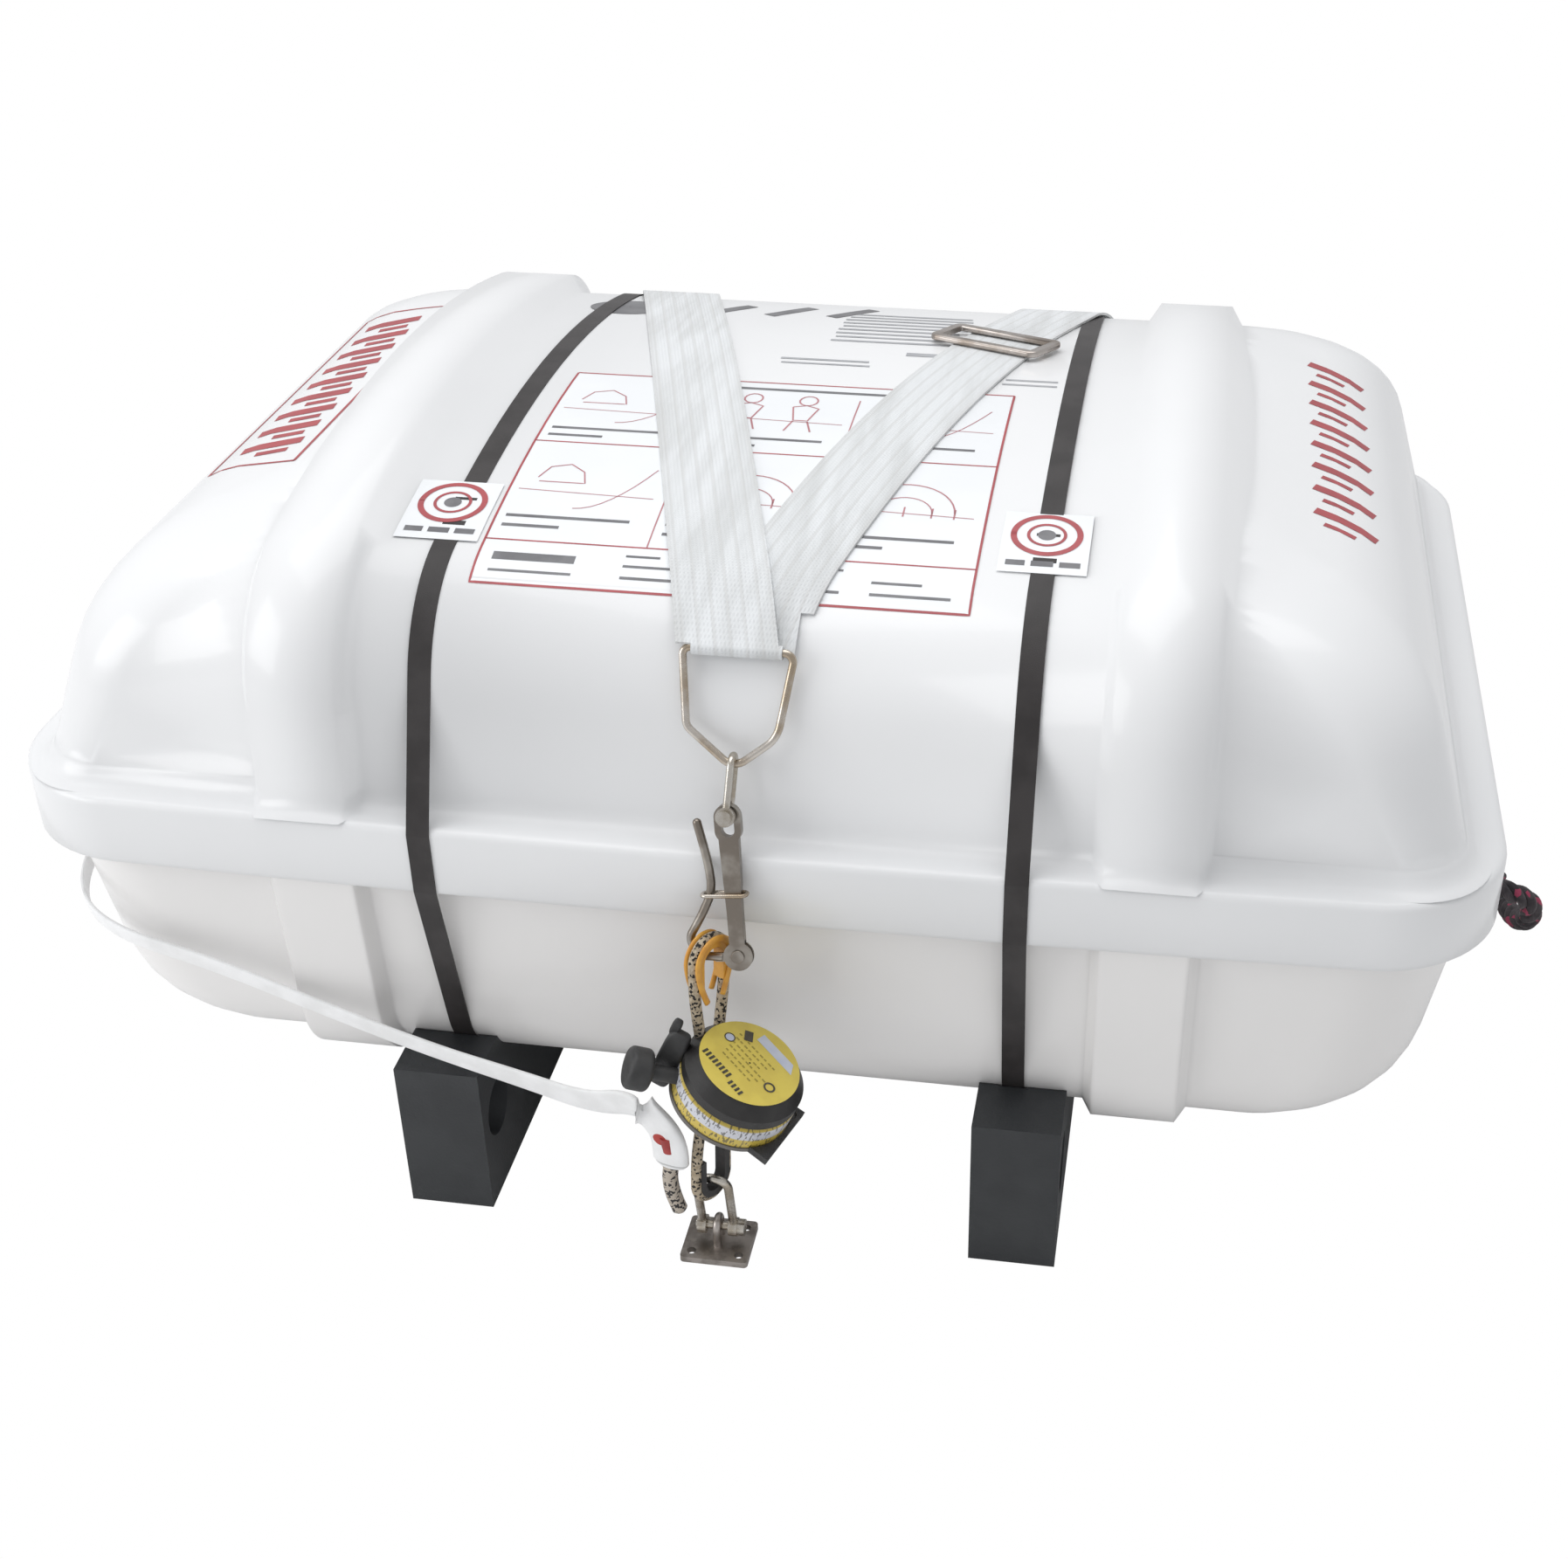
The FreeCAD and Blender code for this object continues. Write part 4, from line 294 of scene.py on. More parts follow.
def releaseLabelBand(name):
    # depth runs down the axis from the cap; turn = atan2 round the axis; dashes by noise
    mat, tree, shader = newMaterial(name)
    finishOf(shader, rough=0.35, coat=0.3, coatRough=0.15)
    axis = Vector(label["axis"]).normalized()
    side = Vector(label["side"])
    side = (side - axis * side.dot(axis)).normalized()
    depth = calc(tree, "MULTIPLY", along(tree, axis, label["centre"]), -1.0)
    turn = calc(tree, "ARCTAN2", along(tree, axis.cross(side), label["centre"]),
                along(tree, side, label["centre"]))
    white = calc(tree, "MULTIPLY", ramp(tree, depth, 0.0205, 0.0212),
                 calc(tree, "SUBTRACT", 1.0, ramp(tree, depth, 0.0290, 0.0297)))
    colour = mixed(tree, white, (0.62, 0.47, 0.08), (0.62, 0.63, 0.68))
    spot = tree.nodes.new("ShaderNodeCombineXYZ")
    tree.links.new(calc(tree, "MULTIPLY", turn, 11.0), spot.inputs[0])
    tree.links.new(calc(tree, "MULTIPLY", depth, 90.0), spot.inputs[1])
    dashes = ramp(tree, noise(tree, 2.2, 1.0, vector=spot.outputs[0]), 0.56, 0.6)
    colour = mixed(tree, calc(tree, "MULTIPLY", dashes, 0.75), colour, (0.05, 0.045, 0.03))
    lower = ramp(tree, depth, 0.0365, 0.037)
    colour = mixed(tree, lower, colour, (0.12, 0.11, 0.1))
    feed(tree, shader.inputs["Base Color"], colour)
    bump(tree, shader, noise(tree, 500.0), 0.05)
    return mat


paints["housing"] = releaseLabelBand("releaseHousing")


def painterWeave(name):
    # white tape; below the sleeve's hem the flecked rope inside it shows; a red tag on the sleeve
    look = {"hem": 0.0955, "tag": (-0.034, 0, 0.1225), "spot": 0.0052}
    mat, tree, shader = newMaterial(name)
    finishOf(shader, rough=0.6, specular=0.25, sheen=0.1)
    x, _, z = axes(tree)
    cloth = mixed(tree, ramp(tree, noise(tree, 35.0), 0.35, 0.65), (0.93, 0.935, 0.94),
                  (0.84, 0.845, 0.845))
    cell = tree.nodes.new("ShaderNodeTexVoronoi")
    cell.inputs["Scale"].default_value = 520
    tree.links.new(place(tree), cell.inputs["Vector"])
    fleck = calc(tree, "LESS_THAN", axes(tree, cell.outputs["Color"])[0], 0.3)
    rope = mixed(tree, fleck, (0.5, 0.44, 0.37), (0.03, 0.028, 0.028))
    onRope = calc(tree, "MULTIPLY", calc(tree, "LESS_THAN", z, look["hem"]),
                  calc(tree, "GREATER_THAN", x, -0.06))
    hem = calc(tree, "MULTIPLY", calc(tree, "GREATER_THAN", x, -0.06),
               calc(tree, "LESS_THAN", calc(tree, "ABSOLUTE", calc(
                   tree, "SUBTRACT", z, look["hem"] + 0.003)), 0.0009))
    away = calc(tree, "ADD", calc(tree, "POWER", along(tree, (1, 0, 0), look["tag"]), 2.0),
                calc(tree, "POWER", along(tree, (0, 0, 1), look["tag"]), 2.0))
    inTag = calc(tree, "LESS_THAN", away, look["spot"] ** 2)
    colour = mixed(tree, calc(tree, "MULTIPLY", hem, 0.5), cloth, (0.3, 0.3, 0.3))
    colour = mixed(tree, onRope, colour, rope)
    colour = mixed(tree, inTag, colour, (0.45, 0.06, 0.05))
    feed(tree, shader.inputs["Base Color"], colour)
    bump(tree, shader, cell.outputs["Distance"], 0.25, 0.0005)
    return mat


paints["painter"] = painterWeave("painterTape")
print("stage: materials made")


def merged(source):
    mesh = source.data.copy()
    work = bmesh.new()
    work.from_mesh(mesh)
    bmesh.ops.remove_doubles(work, verts=work.verts, dist=0.00002)
    work.to_mesh(mesh)
    work.free()
    for stale in ("custom_normal", "sharp_edge", "sharp_face"):
        if stale in mesh.attributes:
            mesh.attributes.remove(mesh.attributes[stale])
    return mesh


def newPiece(name, mesh, material, body="canister"):
    piece = bpy.data.objects.new(name, mesh)
    bpy.context.scene.collection.objects.link(piece)
    mesh.materials.clear()
    mesh.materials.append(material)
    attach(piece, body)
    return piece


def wholeUpper():
    # both parts of the upper moulding as one surface, without the inner faces of their seam
    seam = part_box("upper_rim")[1][2]
    work = bmesh.new()
    for node in ("upper_rim", "upper_shell"):
        work.from_mesh(nodes[node].data)
    inner = [face for face in work.faces if face.normal.z < -0.99
             and abs(face.calc_center_median().z - seam) < 0.00002]
    bmesh.ops.delete(work, geom=inner, context="FACES")
    bmesh.ops.remove_doubles(work, verts=work.verts, dist=0.00004)
    mesh = bpy.data.meshes.new("wholeUpper")
    work.to_mesh(mesh)
    work.free()
    return mesh


def smoothTwin(node, name, slotName, angle=32.0, edge=0.0):
    mesh = wholeUpper() if node == "upper_shell" else merged(nodes[node])
    mesh.polygons.foreach_set("use_smooth", np.ones(len(mesh.polygons), bool))
    mesh.set_sharp_from_angle(angle=math.radians(angle))
    twin = newPiece(name, mesh, paints[slotName], nodes[node]["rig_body"])
    if edge:
        soften = twin.modifiers.new("softEdges", "BEVEL")
        soften.width = edge
        soften.segments = 3
        soften.limit_method = "ANGLE"
        soften.angle_limit = math.radians(40)
        soften.harden_normals = False
    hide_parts(node, *(["upper_rim"] if node == "upper_shell" else []))
    return twin


twins = [
    ("upper_shell", "upperShellSkin", "gelcoat_upper", 30, 0),
    ("lower_shell", "lowerShellSkin", "gelcoat_lower", 30, 0),
    ("rim_gasket", "gasketSkin", "gasket", 30, 0),
    ("painter_port", "portSkin", "port_rubber", 35, 0),
    ("band_left", "bandLeftSkin", "band", 30, 0),
    ("band_right", "bandRightSkin", "band", 30, 0),
    ("band_seal_left", "sealLeftSkin", "seal", 30, 0.0003),
    ("band_seal_right", "sealRightSkin", "seal", 30, 0.0003),
    ("cradle_beam_left", "beamLeftSkin", "cradle", 30, 0),
    ("cradle_beam_right", "beamRightSkin", "cradle", 30, 0),
    ("lashing_strap", "strapSkin", "webbing", 30, 0),
    ("strap_slider", "sliderSkin", "slider_steel", 30, 0.0016),
    ("strap_anchor_left", "anchorLeftSkin", "anchor_steel", 30, 0.0003),
    ("strap_anchor_right", "anchorRightSkin", "anchor_steel", 30, 0.0003),
    ("triangle_ring", "ringSkin", "ring_steel", 40, 0),
    ("ring_shackle", "ringShackleSkin", "shackle_steel", 35, 0.0003),
    ("ring_shackle_pin", "ringShacklePinSkin", "shackle_steel", 35, 0.0003),
    ("slip_hook_body", "hookSkin", "hook_steel", 35, 0.0006),
    ("slip_hook_tongue", "tongueSkin", "hook_steel", 35, 0.0003),
    ("slip_hook_pin", "hookPinSkin", "hook_steel", 35, 0.0004),
    ("slip_hook_ring", "keeperSkin", "ring_steel", 40, 0),
    ("upper_thimble", "upperThimbleSkin", "thimble_yellow", 40, 0),
    ("lower_thimble", "lowerThimbleSkin", "thimble_black", 40, 0),
    ("release_rope", "releaseRopeSkin", "rope_white", 40, 0),
    ("release_housing", "housingSkin", "housing", 35, 0),
    ("release_cap", "capSkin", "cap", 35, 0.0008),
    ("release_ear", "earSkin", "ear", 35, 0.0005),
    ("release_knob", "knobSkin", "ear", 35, 0),
    ("weak_link", "weakLinkSkin", "weak_red", 35, 0),
    ("deck_shackle", "deckShackleSkin", "shackle_steel", 35, 0.0003),
    ("deck_shackle_pin", "deckShacklePinSkin", "shackle_steel", 35, 0.0003),
    ("pad_eye", "padEyeSkin", "deck_steel", 35, 0.0004),
    ("packed_raft", "raftSkin", "raft", 40, 0.004),
    ("gas_cylinder", "bottleSkin", "bottle", 40, 0),
    ("cylinder_valve", "valveSkin", "valve", 35, 0.0004),
    ("emergency_pack", "packSkin", "pack", 40, 0.004),
]
skins = {}
for node, name, slotName, angle, edge in twins:
    skins[node] = smoothTwin(node, name, slotName, angle, edge)
print("stage:", len(skins), "smooth twins")


def route(points, step):
    # quadratic B-spline through the corner points, read back and spaced evenly along its length
    curve = bpy.data.curves.new("routeCurve", "CURVE")
    curve.dimensions = "3D"
    curve.resolution_u = 24
    spline = curve.splines.new("NURBS")
    spline.points.add(len(points) - 1)
    flat = np.column_stack([np.array(points, float), np.ones(len(points))])
    spline.points.foreach_set("co", flat.ravel())
    spline.order_u = 3
    spline.use_endpoint_u = True
    carrier = bpy.data.objects.new("routeCarrier", curve)
    bpy.context.scene.collection.objects.link(carrier)
    mesh = bpy.data.meshes.new_from_object(carrier)
    raw = np.empty(len(mesh.vertices) * 3)
    mesh.vertices.foreach_get("co", raw)
    raw = raw.reshape(-1, 3)
    bpy.data.objects.remove(carrier)
    bpy.data.curves.remove(curve)
    bpy.data.meshes.remove(mesh)
    gaps = np.linalg.norm(np.diff(raw, axis=0), axis=1)
    raw = raw[np.concatenate([[True], gaps > 1e-7])]
    length = np.concatenate([[0.0], np.cumsum(np.linalg.norm(np.diff(raw, axis=0), axis=1))])
    marks = np.linspace(0, length[-1], max(8, int(length[-1] / step)))
    even = np.column_stack([np.interp(marks, length, raw[:, k]) for k in range(3)])
    return even, marks


def unitRows(rows):
    return rows / np.maximum(np.linalg.norm(rows, axis=1, keepdims=True), 1e-9)


def frameAlong(line, reference):
    # tangent t, then n = reference made square to t, and b = t x n
    tangent = unitRows(np.gradient(line, axis=0))
    hint = np.broadcast_to(np.array(reference, float), line.shape)
    normal = unitRows(hint - tangent * (hint * tangent).sum(1, keepdims=True))
    return tangent, normal, np.cross(tangent, normal)


def gridMesh(name, points, closedAcross=True, caps=True):
    # points is rows x columns x 3; neighbours make quads, and each end row is closed by a face
    rows, columns = points.shape[:2]
    index = np.arange(rows * columns).reshape(rows, columns)
    right = np.roll(index, -1, axis=1) if closedAcross else index[:, 1:]
    left = index if closedAcross else index[:, :-1]
    quads = np.stack([left[:-1], right[:-1], right[1:], left[1:]], axis=-1).reshape(-1, 4)
    faces = quads.tolist()
    if caps:
        faces += [index[0, ::-1].tolist(), index[-1].tolist()]
    mesh = bpy.data.meshes.new(name)
    mesh.from_pydata(points.reshape(-1, 3).tolist(), [], faces)
    mesh.update()
    mesh.polygons.foreach_set("use_smooth", np.ones(len(mesh.polygons), bool))
    return mesh


def joined(name, meshes):
    work = bmesh.new()
    for mesh in meshes:
        work.from_mesh(mesh)
    whole = bpy.data.meshes.new(name)
    work.to_mesh(whole)
    work.free()
    whole.polygons.foreach_set("use_smooth", np.ones(len(whole.polygons), bool))
    return whole


def laidRope(name, line, marks, look, reference):
    # strand k: centre + offset (cos p n + sin p b), p = 2 pi (s / lay + k / count); round tube
    tangent, normal, side = frameAlong(line, reference)
    ring = np.linspace(0, 2 * math.pi, look["round"], endpoint=False)
    strands = []
    for k in range(look["count"]):
        turn = 2 * math.pi * (marks / look["lay"] + k / look["count"])
        outward = np.cos(turn)[:, None] * normal + np.sin(turn)[:, None] * side
        sideways = np.cross(tangent, outward)
        centre = line + look["offset"] * outward
        rows = (centre[:, None, :]
                + look["strand"] * (np.cos(ring)[None, :, None] * outward[:, None, :]
                                    + np.sin(ring)[None, :, None] * sideways[:, None, :]))
        strands.append(gridMesh(name + str(k), rows))
    return joined(name, strands)


handleLook = {"count": 3, "lay": 0.034, "offset": 0.0037, "strand": 0.0042, "round": 12}
leftHalf = [(-0.482, 0.110, 0.254), (-0.515, 0.110, 0.251), (-0.511, 0.104, 0.218),
            (-0.505, 0.040, 0.206)]
handleHalves = {
    "right": ([(0.485, 0.214, 0.257), (0.556, 0.214, 0.251), (0.566, 0.200, 0.216),
               (0.556, 0.166, 0.192), (0.551, 0.062, 0.182)],
              [(0.485, 0.214, 0.257), (0.518, 0.214, 0.254), (0.514, 0.208, 0.221),
               (0.512, 0.150, 0.203), (0.522, 0.062, 0.186)]),
    "left": (leftHalf, leftHalf),
}
for sideName, (front, rear) in handleHalves.items():
    whole = [(x, -y, z) for x, y, z in front] + rear[::-1]
    line, marks = route(whole, 0.0016)
    mesh = laidRope("handleRope" + sideName, line, marks, handleLook, (1, 1, 1))
    rope = newPiece("handleRope_" + sideName, mesh, paints["handle"])
    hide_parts("handle_rope_" + sideName)
    print("handle rope", sideName, round(float(marks[-1]), 4))

painterLook = {
    "route": [(-0.484, -0.228, 0.222), (-0.511, -0.228, 0.222), (-0.503, -0.308, 0.214),
              (-0.462, -0.352, 0.207),
              (-0.380, -0.358, 0.190), (-0.300, -0.364, 0.164), (-0.212, -0.378, 0.145),
              (-0.140, -0.390, 0.136), (-0.088, -0.404, 0.133), (-0.052, -0.417, 0.150),
              (-0.030, -0.421, 0.132), (-0.027, -0.418, 0.104), (-0.033, -0.412, 0.070),
              (-0.027, -0.408, 0.046)],
    "share": [0.0, 0.04, 0.09, 0.62, 0.74, 0.80, 0.85, 0.90, 0.922, 0.928, 1.0],
    "wide": [0.0062, 0.0062, 0.0075, 0.0085, 0.0105, 0.0115, 0.0125, 0.0138, 0.0136, 0.0054,
             0.0054],
    "deep": [0.0030, 0.0030, 0.0016, 0.0016, 0.0017, 0.0018, 0.0030, 0.0048, 0.0054, 0.0052,
             0.0052],
}
line, marks = route(painterLook["route"], 0.0025)
share = marks / marks[-1]
facing = np.interp(share, [0.80, 0.86], [0.0, 1.0])[:, None]   # the tape turns over at its fold
tangent, normal, side = frameAlong(line, (1 - facing) * np.array([0, -0.25, 1])
                                   + facing * np.array([-1, 0.25, 0]))
wide = np.interp(share, painterLook["share"], painterLook["wide"])
deep = np.interp(share, painterLook["share"], painterLook["deep"])
ring = np.linspace(0, 2 * math.pi, 28, endpoint=False)
power = np.interp(share, [0.85, 0.9], [0.45, 0.8])[:, None]
curveA = np.sign(np.cos(ring)) * np.abs(np.cos(ring)) ** power   # flattened oval |u|^n + |v|^n = 1
curveB = np.sign(np.sin(ring)) * np.abs(np.sin(ring)) ** power
rows = (line[:, None, :] + (wide[:, None] * curveA)[..., None] * normal[:, None, :]
        + (deep[:, None] * curveB)[..., None] * side[:, None, :])
painter = newPiece("painterLine", gridMesh("painterLine", rows), paints["painter"])
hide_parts("painter_tape")
print("stage: ropes laid, painter", round(float(marks[-1]), 4))


# lips of the upper thimble: along its plane p = top + r (cos a across + sin a up), then legs
lips = {"top": (0.001, -0.3936, 0.2618), "foot": (-0.003, -0.406, 0.078), "radius": 0.0163,
        "leg": 0.0305, "pinch": 0.0075, "apart": 0.0052, "thick": 0.0016,
        "turn": 60.0}
tetherUp = np.array(lips["top"]) - np.array(lips["foot"])
tetherUp /= np.linalg.norm(tetherUp)
turnSide = math.radians(lips["turn"])
tetherSide = np.array([math.cos(turnSide), math.sin(turnSide), 0])
tetherSide -= tetherUp * np.dot(tetherSide, tetherUp)
tetherSide /= np.linalg.norm(tetherSide)
tetherOut = np.cross(tetherSide, tetherUp)
sweep = np.linspace(math.pi, 0, 40)
crown = np.column_stack([lips["radius"] * np.cos(sweep), lips["radius"] * np.sin(sweep)])
fall = np.linspace(1, 0.05, 18)
narrow = lips["radius"] - (lips["radius"] - lips["pinch"]) * fall ** 1.6
left = np.column_stack([-narrow, -lips["leg"] * fall])
flat = np.vstack([left, crown, left[::-1] * np.array([-1, 1])])
lipMeshes = []
for face in (-1, 1):
    path = (np.array(lips["top"]) + flat[:, :1] * tetherSide + flat[:, 1:] * tetherUp
            + tetherOut * face * lips["apart"])
    t, n, b = frameAlong(path, tetherOut)
    around = np.linspace(0, 2 * math.pi, 14, endpoint=False)
    tube = (path[:, None, :] + lips["thick"] * (np.cos(around)[None, :, None] * n[:, None, :]
            + 1.5 * np.sin(around)[None, :, None] * b[:, None, :]))
    lipMeshes.append(gridMesh("lip" + str(face), tube))
newPiece("thimbleLips", joined("thimbleLips", lipMeshes), paints["thimble_yellow"], "tether")


def film(name, shapes, material, lift, onto="upper_shell", height=0.7):
    # shapes are (points n x 2, faces) in the x, y plane; a wrap drops them onto the surface
    points, faces, start = [], [], 0
    for some, quads in shapes:
        points.append(some)
        faces += (np.array(quads) + start).tolist()
        start += len(some)
    points = np.concatenate(points)
    mesh = bpy.data.meshes.new(name)
    mesh.from_pydata(np.column_stack([points, np.full(len(points), height)]).tolist(), [],
                     faces)
    mesh.update()
    mesh.polygons.foreach_set("use_smooth", np.ones(len(mesh.polygons), bool))
    piece = newPiece(name, mesh, material)
    wrap = piece.modifiers.new("dropDown", "SHRINKWRAP")
    wrap.target = skins[onto]
    wrap.wrap_method = "PROJECT"
    wrap.use_project_z = True
    wrap.use_negative_direction = True
    wrap.use_positive_direction = False
    wrap.offset = lift
    return piece


def sheetOf(corners, step=0.006):
    # bilinear patch over four corners, in order round it
    a, b, c, d = (np.array(p, float) for p in corners)
    across = max(1, int(max(np.linalg.norm(b - a), np.linalg.norm(c - d)) / step))
    down = max(1, int(max(np.linalg.norm(d - a), np.linalg.norm(c - b)) / step))
    u = np.linspace(0, 1, across + 1)[None, :, None]
    v = np.linspace(0, 1, down + 1)[:, None, None]
    grid = (a * (1 - u) + b * u) * (1 - v) + (d * (1 - u) + c * u) * v
    index = np.arange((across + 1) * (down + 1)).reshape(down + 1, across + 1)
    quads = np.stack([index[:-1, :-1], index[:-1, 1:], index[1:, 1:], index[1:, :-1]], -1)
    return grid.reshape(-1, 2), quads.reshape(-1, 4)


def strokeOf(points, width, step=0.006, closed=False):
    # a line of even width along the given corners
    line = np.array(points, float)
    if closed:
        line = np.vstack([line, line[:1]])
    length = np.concatenate([[0], np.cumsum(np.linalg.norm(np.diff(line, axis=0), axis=1))])
    keep = np.concatenate([[True], np.diff(length) > 1e-9])
    line, length = line[keep], length[keep]
    marks = np.union1d(np.linspace(0, length[-1], max(2, int(length[-1] / step) + 1)), length)
    line = np.column_stack([np.interp(marks, length, line[:, k]) for k in range(2)])
    run = np.gradient(line, axis=0)
    run /= np.maximum(np.linalg.norm(run, axis=1, keepdims=True), 1e-9)
    out = np.column_stack([-run[:, 1], run[:, 0]]) * width / 2
    both = np.stack([line + out, line - out], axis=1)
    index = np.arange(len(line) * 2).reshape(-1, 2)
    quads = np.stack([index[:-1, 0], index[:-1, 1], index[1:, 1], index[1:, 0]], -1)
    return both.reshape(-1, 2), quads


def arcOf(centre, radii, start, end, turn=0.0, count=24):
    # ellipse arc centre + R(turn) (rx cos p, ry sin p)
    p = np.radians(np.linspace(start, end, count))
    flat = np.column_stack([radii[0] * np.cos(p), radii[1] * np.sin(p)])
    c, s = math.cos(math.radians(turn)), math.sin(math.radians(turn))
    return flat @ np.array([[c, s], [-s, c]]) + np.array(centre)


def discOf(centre, radii, turn=0.0, rings=4, count=32):
    share = np.linspace(0.02, 1, rings + 1)
    p = np.linspace(0, 2 * math.pi, count, endpoint=False)
    flat = (share[:, None, None] * np.stack([radii[0] * np.cos(p), radii[1] * np.sin(p)], -1))
    c, s = math.cos(math.radians(turn)), math.sin(math.radians(turn))
    flat = flat.reshape(-1, 2) @ np.array([[c, s], [-s, c]]) + np.array(centre)
    index = np.arange((rings + 1) * count).reshape(rings + 1, count)
    nxt = np.roll(index, -1, axis=1)
    quads = np.stack([index[:-1], nxt[:-1], nxt[1:], index[1:]], -1).reshape(-1, 4)
    return flat, quads


inkWhite = plain("filmWhite", (0.84, 0.86, 0.88), (0.82, 0.84, 0.86), 12, rough=0.35,
                 coat=0.2, coatRough=0.15)
inkRed = plain("filmRed", (0.42, 0.07, 0.08), (0.36, 0.06, 0.07), 40, rough=0.4)
inkThin = plain("filmThinRed", (0.5, 0.22, 0.24), (0.44, 0.18, 0.2), 40, rough=0.4)
inkGrey = plain("filmGrey", (0.13, 0.13, 0.14), (0.18, 0.18, 0.19), 40, rough=0.4)
inkPale = plain("filmPale", (0.36, 0.37, 0.39), (0.42, 0.43, 0.45), 40, rough=0.4)

placard = {"corners": [(-0.178, 0.0), (0.160, 0.0), (0.160, -0.286), (-0.178, -0.286)],
           "rows": [0.0, 0.42, 0.86, 1.0], "columns": [0.0, 0.335, 0.665, 1.0]}


def onPlacard(u, v):
    a, b, c, d = (np.array(p) for p in placard["corners"])
    return (a * (1 - u) + b * u) * (1 - v) + (d * (1 - u) + c * u) * v


def boardLine(points, width):
    return strokeOf([onPlacard(u, v) for u, v in points], width)


frameLines = [boardLine([(0, 0), (1, 0), (1, 1), (0, 1), (0, 0)], 0.0017)]
frameLines += [boardLine([(0, v), (1, v)], 0.0014) for v in placard["rows"][1:3]]
thinLines = [boardLine([(u, 0.09), (u, 0.86)], 0.0011) for u in placard["columns"][1:3]]
drawing = []
for column in range(3):
    for row in range(2):
        left, top = placard["columns"][column] + 0.02, placard["rows"][row]
        wide, high = 0.29, 0.42
        drawing.append(boardLine([(left, top + high * 0.55), (left + wide, top + high * 0.58)],
                                 0.0008))
        if (column, row) in ((0, 0), (0, 1), (2, 0)):
            drawing.append(boardLine([(left + wide * (0.45 + 0.5 * t),
                                       top + high * (0.72 - 0.45 * t * t)) for t in
                                      np.linspace(0, 1, 9)], 0.0009))
            drawing.append(boardLine([(left + wide * x, top + high * y) for x, y in
                                      ((0.1, 0.42), (0.16, 0.3), (0.3, 0.26), (0.42, 0.34),
                                       (0.46, 0.46), (0.12, 0.46))], 0.0011))
        elif (column, row) == (1, 0):
            for shift in (0.25, 0.68):
                drawing.append(boardLine([(left + wide * (shift + 0.07 * math.cos(p)),
                                           top + high * (0.26 + 0.07 * math.sin(p)))
                                          for p in np.linspace(0, 6.28, 15)], 0.0014))
                drawing.append(boardLine([(left + wide * (shift + x), top + high * y)
                                          for x, y in ((-0.1, 0.36), (0.0, 0.33), (0.1, 0.37),
                                                       (0.05, 0.55), (-0.06, 0.55),
                                                       (-0.1, 0.36))], 0.0013))
                drawing.append(boardLine([(left + wide * (shift - 0.06), top + high * 0.56),
                                          (left + wide * (shift - 0.1), top + high * 0.7)],
                                         0.0014))
                drawing.append(boardLine([(left + wide * (shift + 0.05), top + high * 0.56),
                                          (left + wide * (shift + 0.1), top + high * 0.7)],
                                         0.0014))
        else:
            drawing.append(boardLine([(left + wide * (0.5 + 0.36 * math.cos(p)),
                                       top + high * (0.56 - 0.3 * math.sin(p)))
                                      for p in np.linspace(0.05, math.pi - 0.05, 19)], 0.0012))
            drawing.append(boardLine([(left + wide * (0.5 + 0.2 * math.cos(p)),
                                       top + high * (0.56 - 0.16 * math.sin(p)))
                                      for p in np.linspace(0.05, math.pi - 0.05, 15)], 0.001))
            drawing += [boardLine([(left + wide * x, top + high * 0.5),
                                   (left + wide * x, top + high * 0.6)], 0.0012)
                        for x in (0.14, 0.3, 0.5, 0.7, 0.86)]
captions = []
for column in range(3):
    for row in range(2):
        left, top = placard["columns"][column] + 0.02, placard["rows"][row]
        for step, wide in ((0.80, 0.26), (0.89, 0.12)):
            captions.append(boardLine([(left, top + 0.43 * step), (left + wide, top + 0.43 * step)],
                                      0.0032))
captions.append(boardLine([(0.30, 0.045), (0.72, 0.045)], 0.0042))
captions += [boardLine([(0.03, 0.92), (0.2, 0.92)], 0.0075),
             boardLine([(0.03, 0.965), (0.2, 0.965)], 0.002)]
captions += [boardLine([(u, v), (u + w, v)], 0.0022) for u, v, w in
             ((0.3, 0.895, 0.07), (0.3, 0.93, 0.13), (0.3, 0.965, 0.12),
              (0.62, 0.895, 0.12), (0.62, 0.93, 0.1), (0.62, 0.965, 0.12),
              (0.8, 0.93, 0.1), (0.8, 0.965, 0.16))]
printBlock = []
for step, (indent, wide) in enumerate([(0.004, 0.1), (0.002, 0.104), (0, 0.106), (0, 0.1),
                                       (0.002, 0.104), (0, 0.1), (0, 0.104), (0.002, 0.09),
                                       (0, 0.1)]):
    y = 0.214 - 0.0125 * step
    printBlock.append(strokeOf([(indent, y), (indent + wide, y)], 0.0045))
printBlock += [strokeOf([(0.066, 0.083), (0.102, 0.083)], 0.008)]
printBlock += [strokeOf([(-0.03, 0.058), (0.04, 0.058)], 0.004),
               strokeOf([(-0.028, 0.048), (0.042, 0.048)], 0.003),
               strokeOf([(0.15, 0.034), (0.19, 0.034)], 0.003),
               strokeOf([(0.148, 0.024), (0.19, 0.024)], 0.003)]
# plain shapes: a filled oval, then three slanted bars
marksDark = [discOf((-0.188, 0.196), (0.034, 0.03))]
marksDark += [strokeOf([(x, y), (x + 0.03, y + 0.045)], 0.013) for x, y in
              ((-0.118, 0.185), (-0.066, 0.19), (-0.014, 0.196))]
